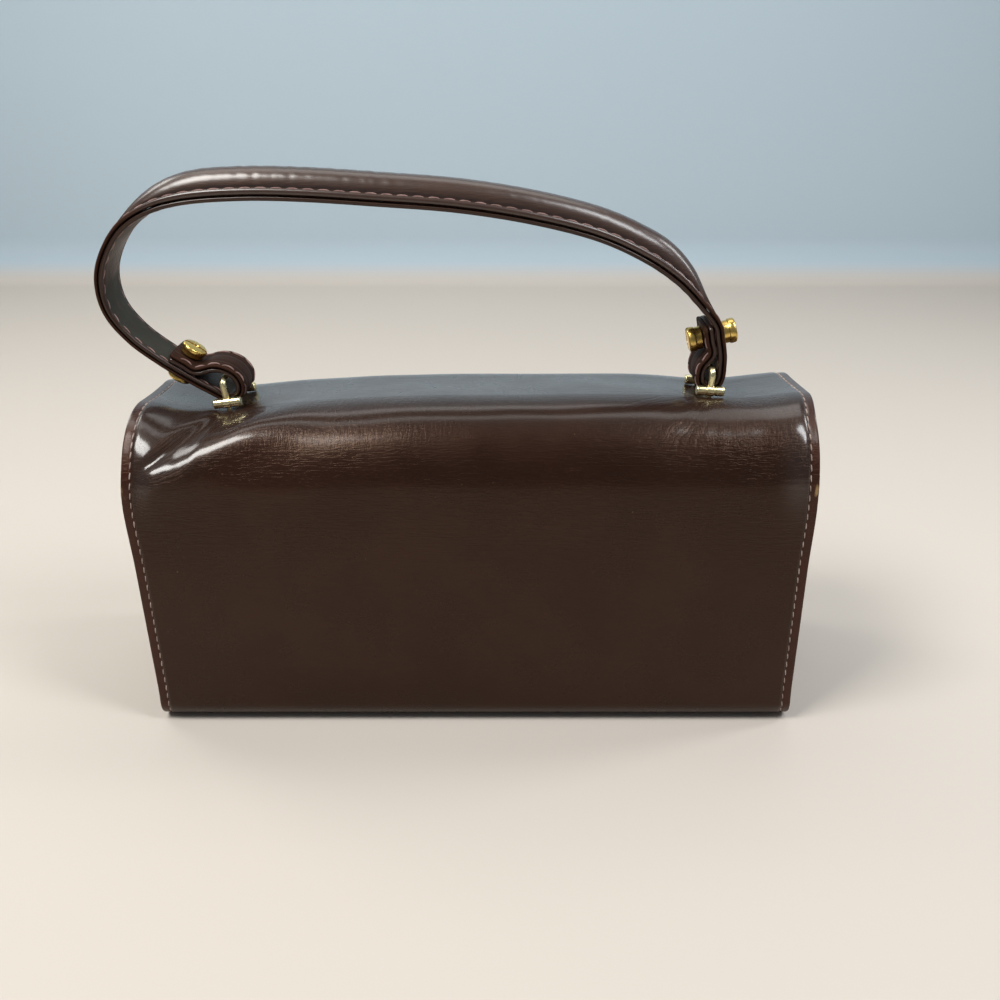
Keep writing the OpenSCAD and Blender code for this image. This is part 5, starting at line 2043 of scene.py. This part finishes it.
@dataclass(frozen=True)
class Studio:
    """Camera like the photograph's, a pale floor that runs up into a wall, and soft light."""

    camera_at: Triple = (0.0085, -0.3230, 0.2196)
    pitch_deg: float = 64.9
    lens: float = 36.0
    floor: Triple = (0.62, 0.56, 0.50)
    wall: Triple = (0.48, 0.58, 0.65)
    air: Triple = (0.42, 0.45, 0.48)
    air_power: float = 0.42
    lamps: tuple[Lamp, ...] = (
        Lamp("window", (-0.40, -0.29, 0.84), (-0.05, 0, 0.09), (0.32, 0.38), 6.2, (1.0, 0.985, 0.95)),
        Lamp("room", (0.42, -0.26, 0.79), (0.05, 0, 0.09), (0.18, 0.40), 3.0, (0.93, 0.97, 1.0)),
        Lamp("top", (-0.04, 0.28, 0.88), (0, 0, 0.1), (0.85, 0.38), 1.7, (1.0, 0.98, 0.94)),
        Lamp("right", (0.62, 0.12, 0.52), (0.06, 0, 0.15), (0.12, 0.32), 1.4, (0.96, 0.98, 1.0)),
        Lamp("left", (-0.57, 0.30, 0.60), (-0.06, 0, 0.16), (0.24, 0.24), 1.2, (1.0, 0.98, 0.94)))
    half_w: float = 1600.0
    near_y: float = -1500.0
    wall_y: float = 660.0
    wall_h: float = 1500.0
    bend_r: float = 40.0
    sheet_t: float = 4.0
    below: float = 0.02

    def camera(self) -> None:
        """Adds the camera at the photograph's place."""
        data = bpy.data.cameras.new("view")
        data.lens = self.lens
        data.sensor_width = 36.0
        data.clip_start = 0.01
        obj = bpy.data.objects.new("view", data)
        obj.location = self.camera_at
        obj.rotation_euler = (np.radians(self.pitch_deg), 0, 0)
        bpy.context.scene.collection.objects.link(obj)
        bpy.context.scene.camera = obj
        bpy.context.scene.view_settings.view_transform = "Standard"

    def backdrop(self) -> None:
        """Adds the floor and the wall as one sheet with a round bend."""
        x = np.linspace(-self.half_w, self.half_w, 9)
        a = np.radians(np.linspace(0, 90, 16))
        bend, far = self.bend_r, self.wall_y
        y = np.concatenate([[self.near_y, self.near_y / 5], far - bend + bend * np.sin(a), [far, far]])
        z = np.concatenate([[0.0, 0.0], bend - bend * np.cos(a), [self.wall_h / 3, self.wall_h]])
        grid = grid_of(x[:, None], y, z - self.below)
        obj = shell("backdrop", grid, grid + [0, self.sheet_t, -self.sheet_t])
        material = bpy.data.materials.new("backdrop")
        material.use_nodes = True
        g = NodeGraph(material.node_tree)
        height = g.add("ShaderNodeSeparateXYZ", {0: g.add("ShaderNodeTexCoord").outputs["Object"]}).outputs["Z"]
        colour = g.mix(g.ramp(height, 0.001, 0.02), self.floor, self.wall)
        shader = g.add("ShaderNodeBsdfPrincipled", {"Base Color": colour, "Roughness": 0.85,
                                                    "Specular IOR Level": 0.1})
        g.add("ShaderNodeOutputMaterial", {"Surface": shader.outputs[0]})
        dress(obj, material)

    def build(self) -> None:
        """Adds the lights, the air and the backdrop."""
        for lamp in self.lamps:
            lamp.build()
        world = bpy.data.worlds.new("air")
        world.use_nodes = True
        g = NodeGraph(world.node_tree)
        air = g.add("ShaderNodeBackground", {"Color": (*self.air, 1.0), "Strength": self.air_power})
        g.add("ShaderNodeOutputWorld", {"Surface": air.outputs[0]})
        bpy.context.scene.world = world
        self.backdrop()


class HandbagScene:
    """The whole bag: finishes, leather, gussets, linings, hardware and strap."""

    def __init__(self) -> None:
        """Makes the finishes and the shared forms."""
        made = Finishes()
        self.form = RoofForm()
        self.size = HardwareSize()
        self.leather = made.leather("leather_polished", LeatherFinish())
        # The strap's edge colour is its rims' own and, on the folded ends, painted shade.
        self.strap_leather = made.leather("leather_strap", LeatherFinish(
            base=(0.030, 0.0125, 0.008), light=(0.040, 0.017, 0.0105), edge=(0.017, 0.0062, 0.0042), creases=0.8,
            rubbed=(0.040, 0.017, 0.011), rough_low=0.36, rough_high=0.48, specular=0.24, coat=0.0, shine=1.0,
            coat_rough=0.27, edge_rough=0.25))
        self.dark = made.leather("leather_gusset", LeatherFinish(
            base=(0.022, 0.011, 0.008), light=(0.036, 0.018, 0.012), creases=0.4, coat=0.1))
        self.under = made.leather("leather_underside", LeatherFinish(
            base=(0.024, 0.0115, 0.0085), light=(0.034, 0.017, 0.0125), edge=(0.022, 0.0095, 0.0065),
            rubbed=(0.030, 0.036, 0.030), rough_low=0.36, rough_high=0.6, coat=0.0, pores=0.9,
            creases=0.8, depth=0.00013))
        self.fabric = made.cloth("cotton_lining", ClothFinish())
        self.felt = made.cloth("felt_filler", ClothFinish((0.17, 0.155, 0.13), (0.10, 0.09, 0.075), 700.0, False))
        self.thread = made.plain("thread_faded", (0.46, 0.36, 0.31), (0.26, 0.19, 0.16), 0.75)
        self.strap_thread = made.plain("thread_strap", (0.45, 0.28, 0.25), (0.25, 0.14, 0.12), 0.7)
        self.pale = made.metal("brass_pale_handled", MetalFinish())
        self.gold = made.metal("brass_gold_handled", MetalFinish((0.80, 0.56, 0.16), (0.54, 0.36, 0.10)))
        board = made.plain("fibre_board", (0.24, 0.19, 0.13), (0.17, 0.13, 0.085), 0.9)
        steel = made.plain("steel_plain", (0.42, 0.42, 0.41), (0.30, 0.30, 0.29), 0.38, 1.0)
        for nodes, material in ((("back_board", "bottom_board", "front_board", "roof_board", "flap_board"), board),
                                (("leg_washers_left", "leg_washers_right", "snap_stud_washer",
                                  "snap_socket_washer"), steel),
                                (("snap_stud", "snap_socket"), self.gold)):
            for node in nodes:
                dress(bpy.data.objects[node], material)

    def build(self) -> None:
        """Makes every piece of the bag."""
        LeatherBody(self.form, Relief(self.form), self.leather, self.thread).build()
        SideGussets(self.form, self.dark, self.fabric).build()
        Linings(self.form, self.fabric, self.dark).build()
        rods = [StaplePose(self.form, self.size, x).rod for x in (self.size.left_x, self.size.right_x)]
        route = StrapRoute(StrapSize(), *rods)
        Hardware(self.form, self.size, route, self.pale, self.gold).build()
        StrapHandle(route, self.strap_leather, self.under, self.felt, self.strap_thread).build()


def main() -> None:
    """Builds the studio and the bag."""
    logging.basicConfig(level=logging.INFO)
    studio = Studio()
    studio.camera()
    studio.build()
    HandbagScene().build()


if __name__ == "__main__":
    main()
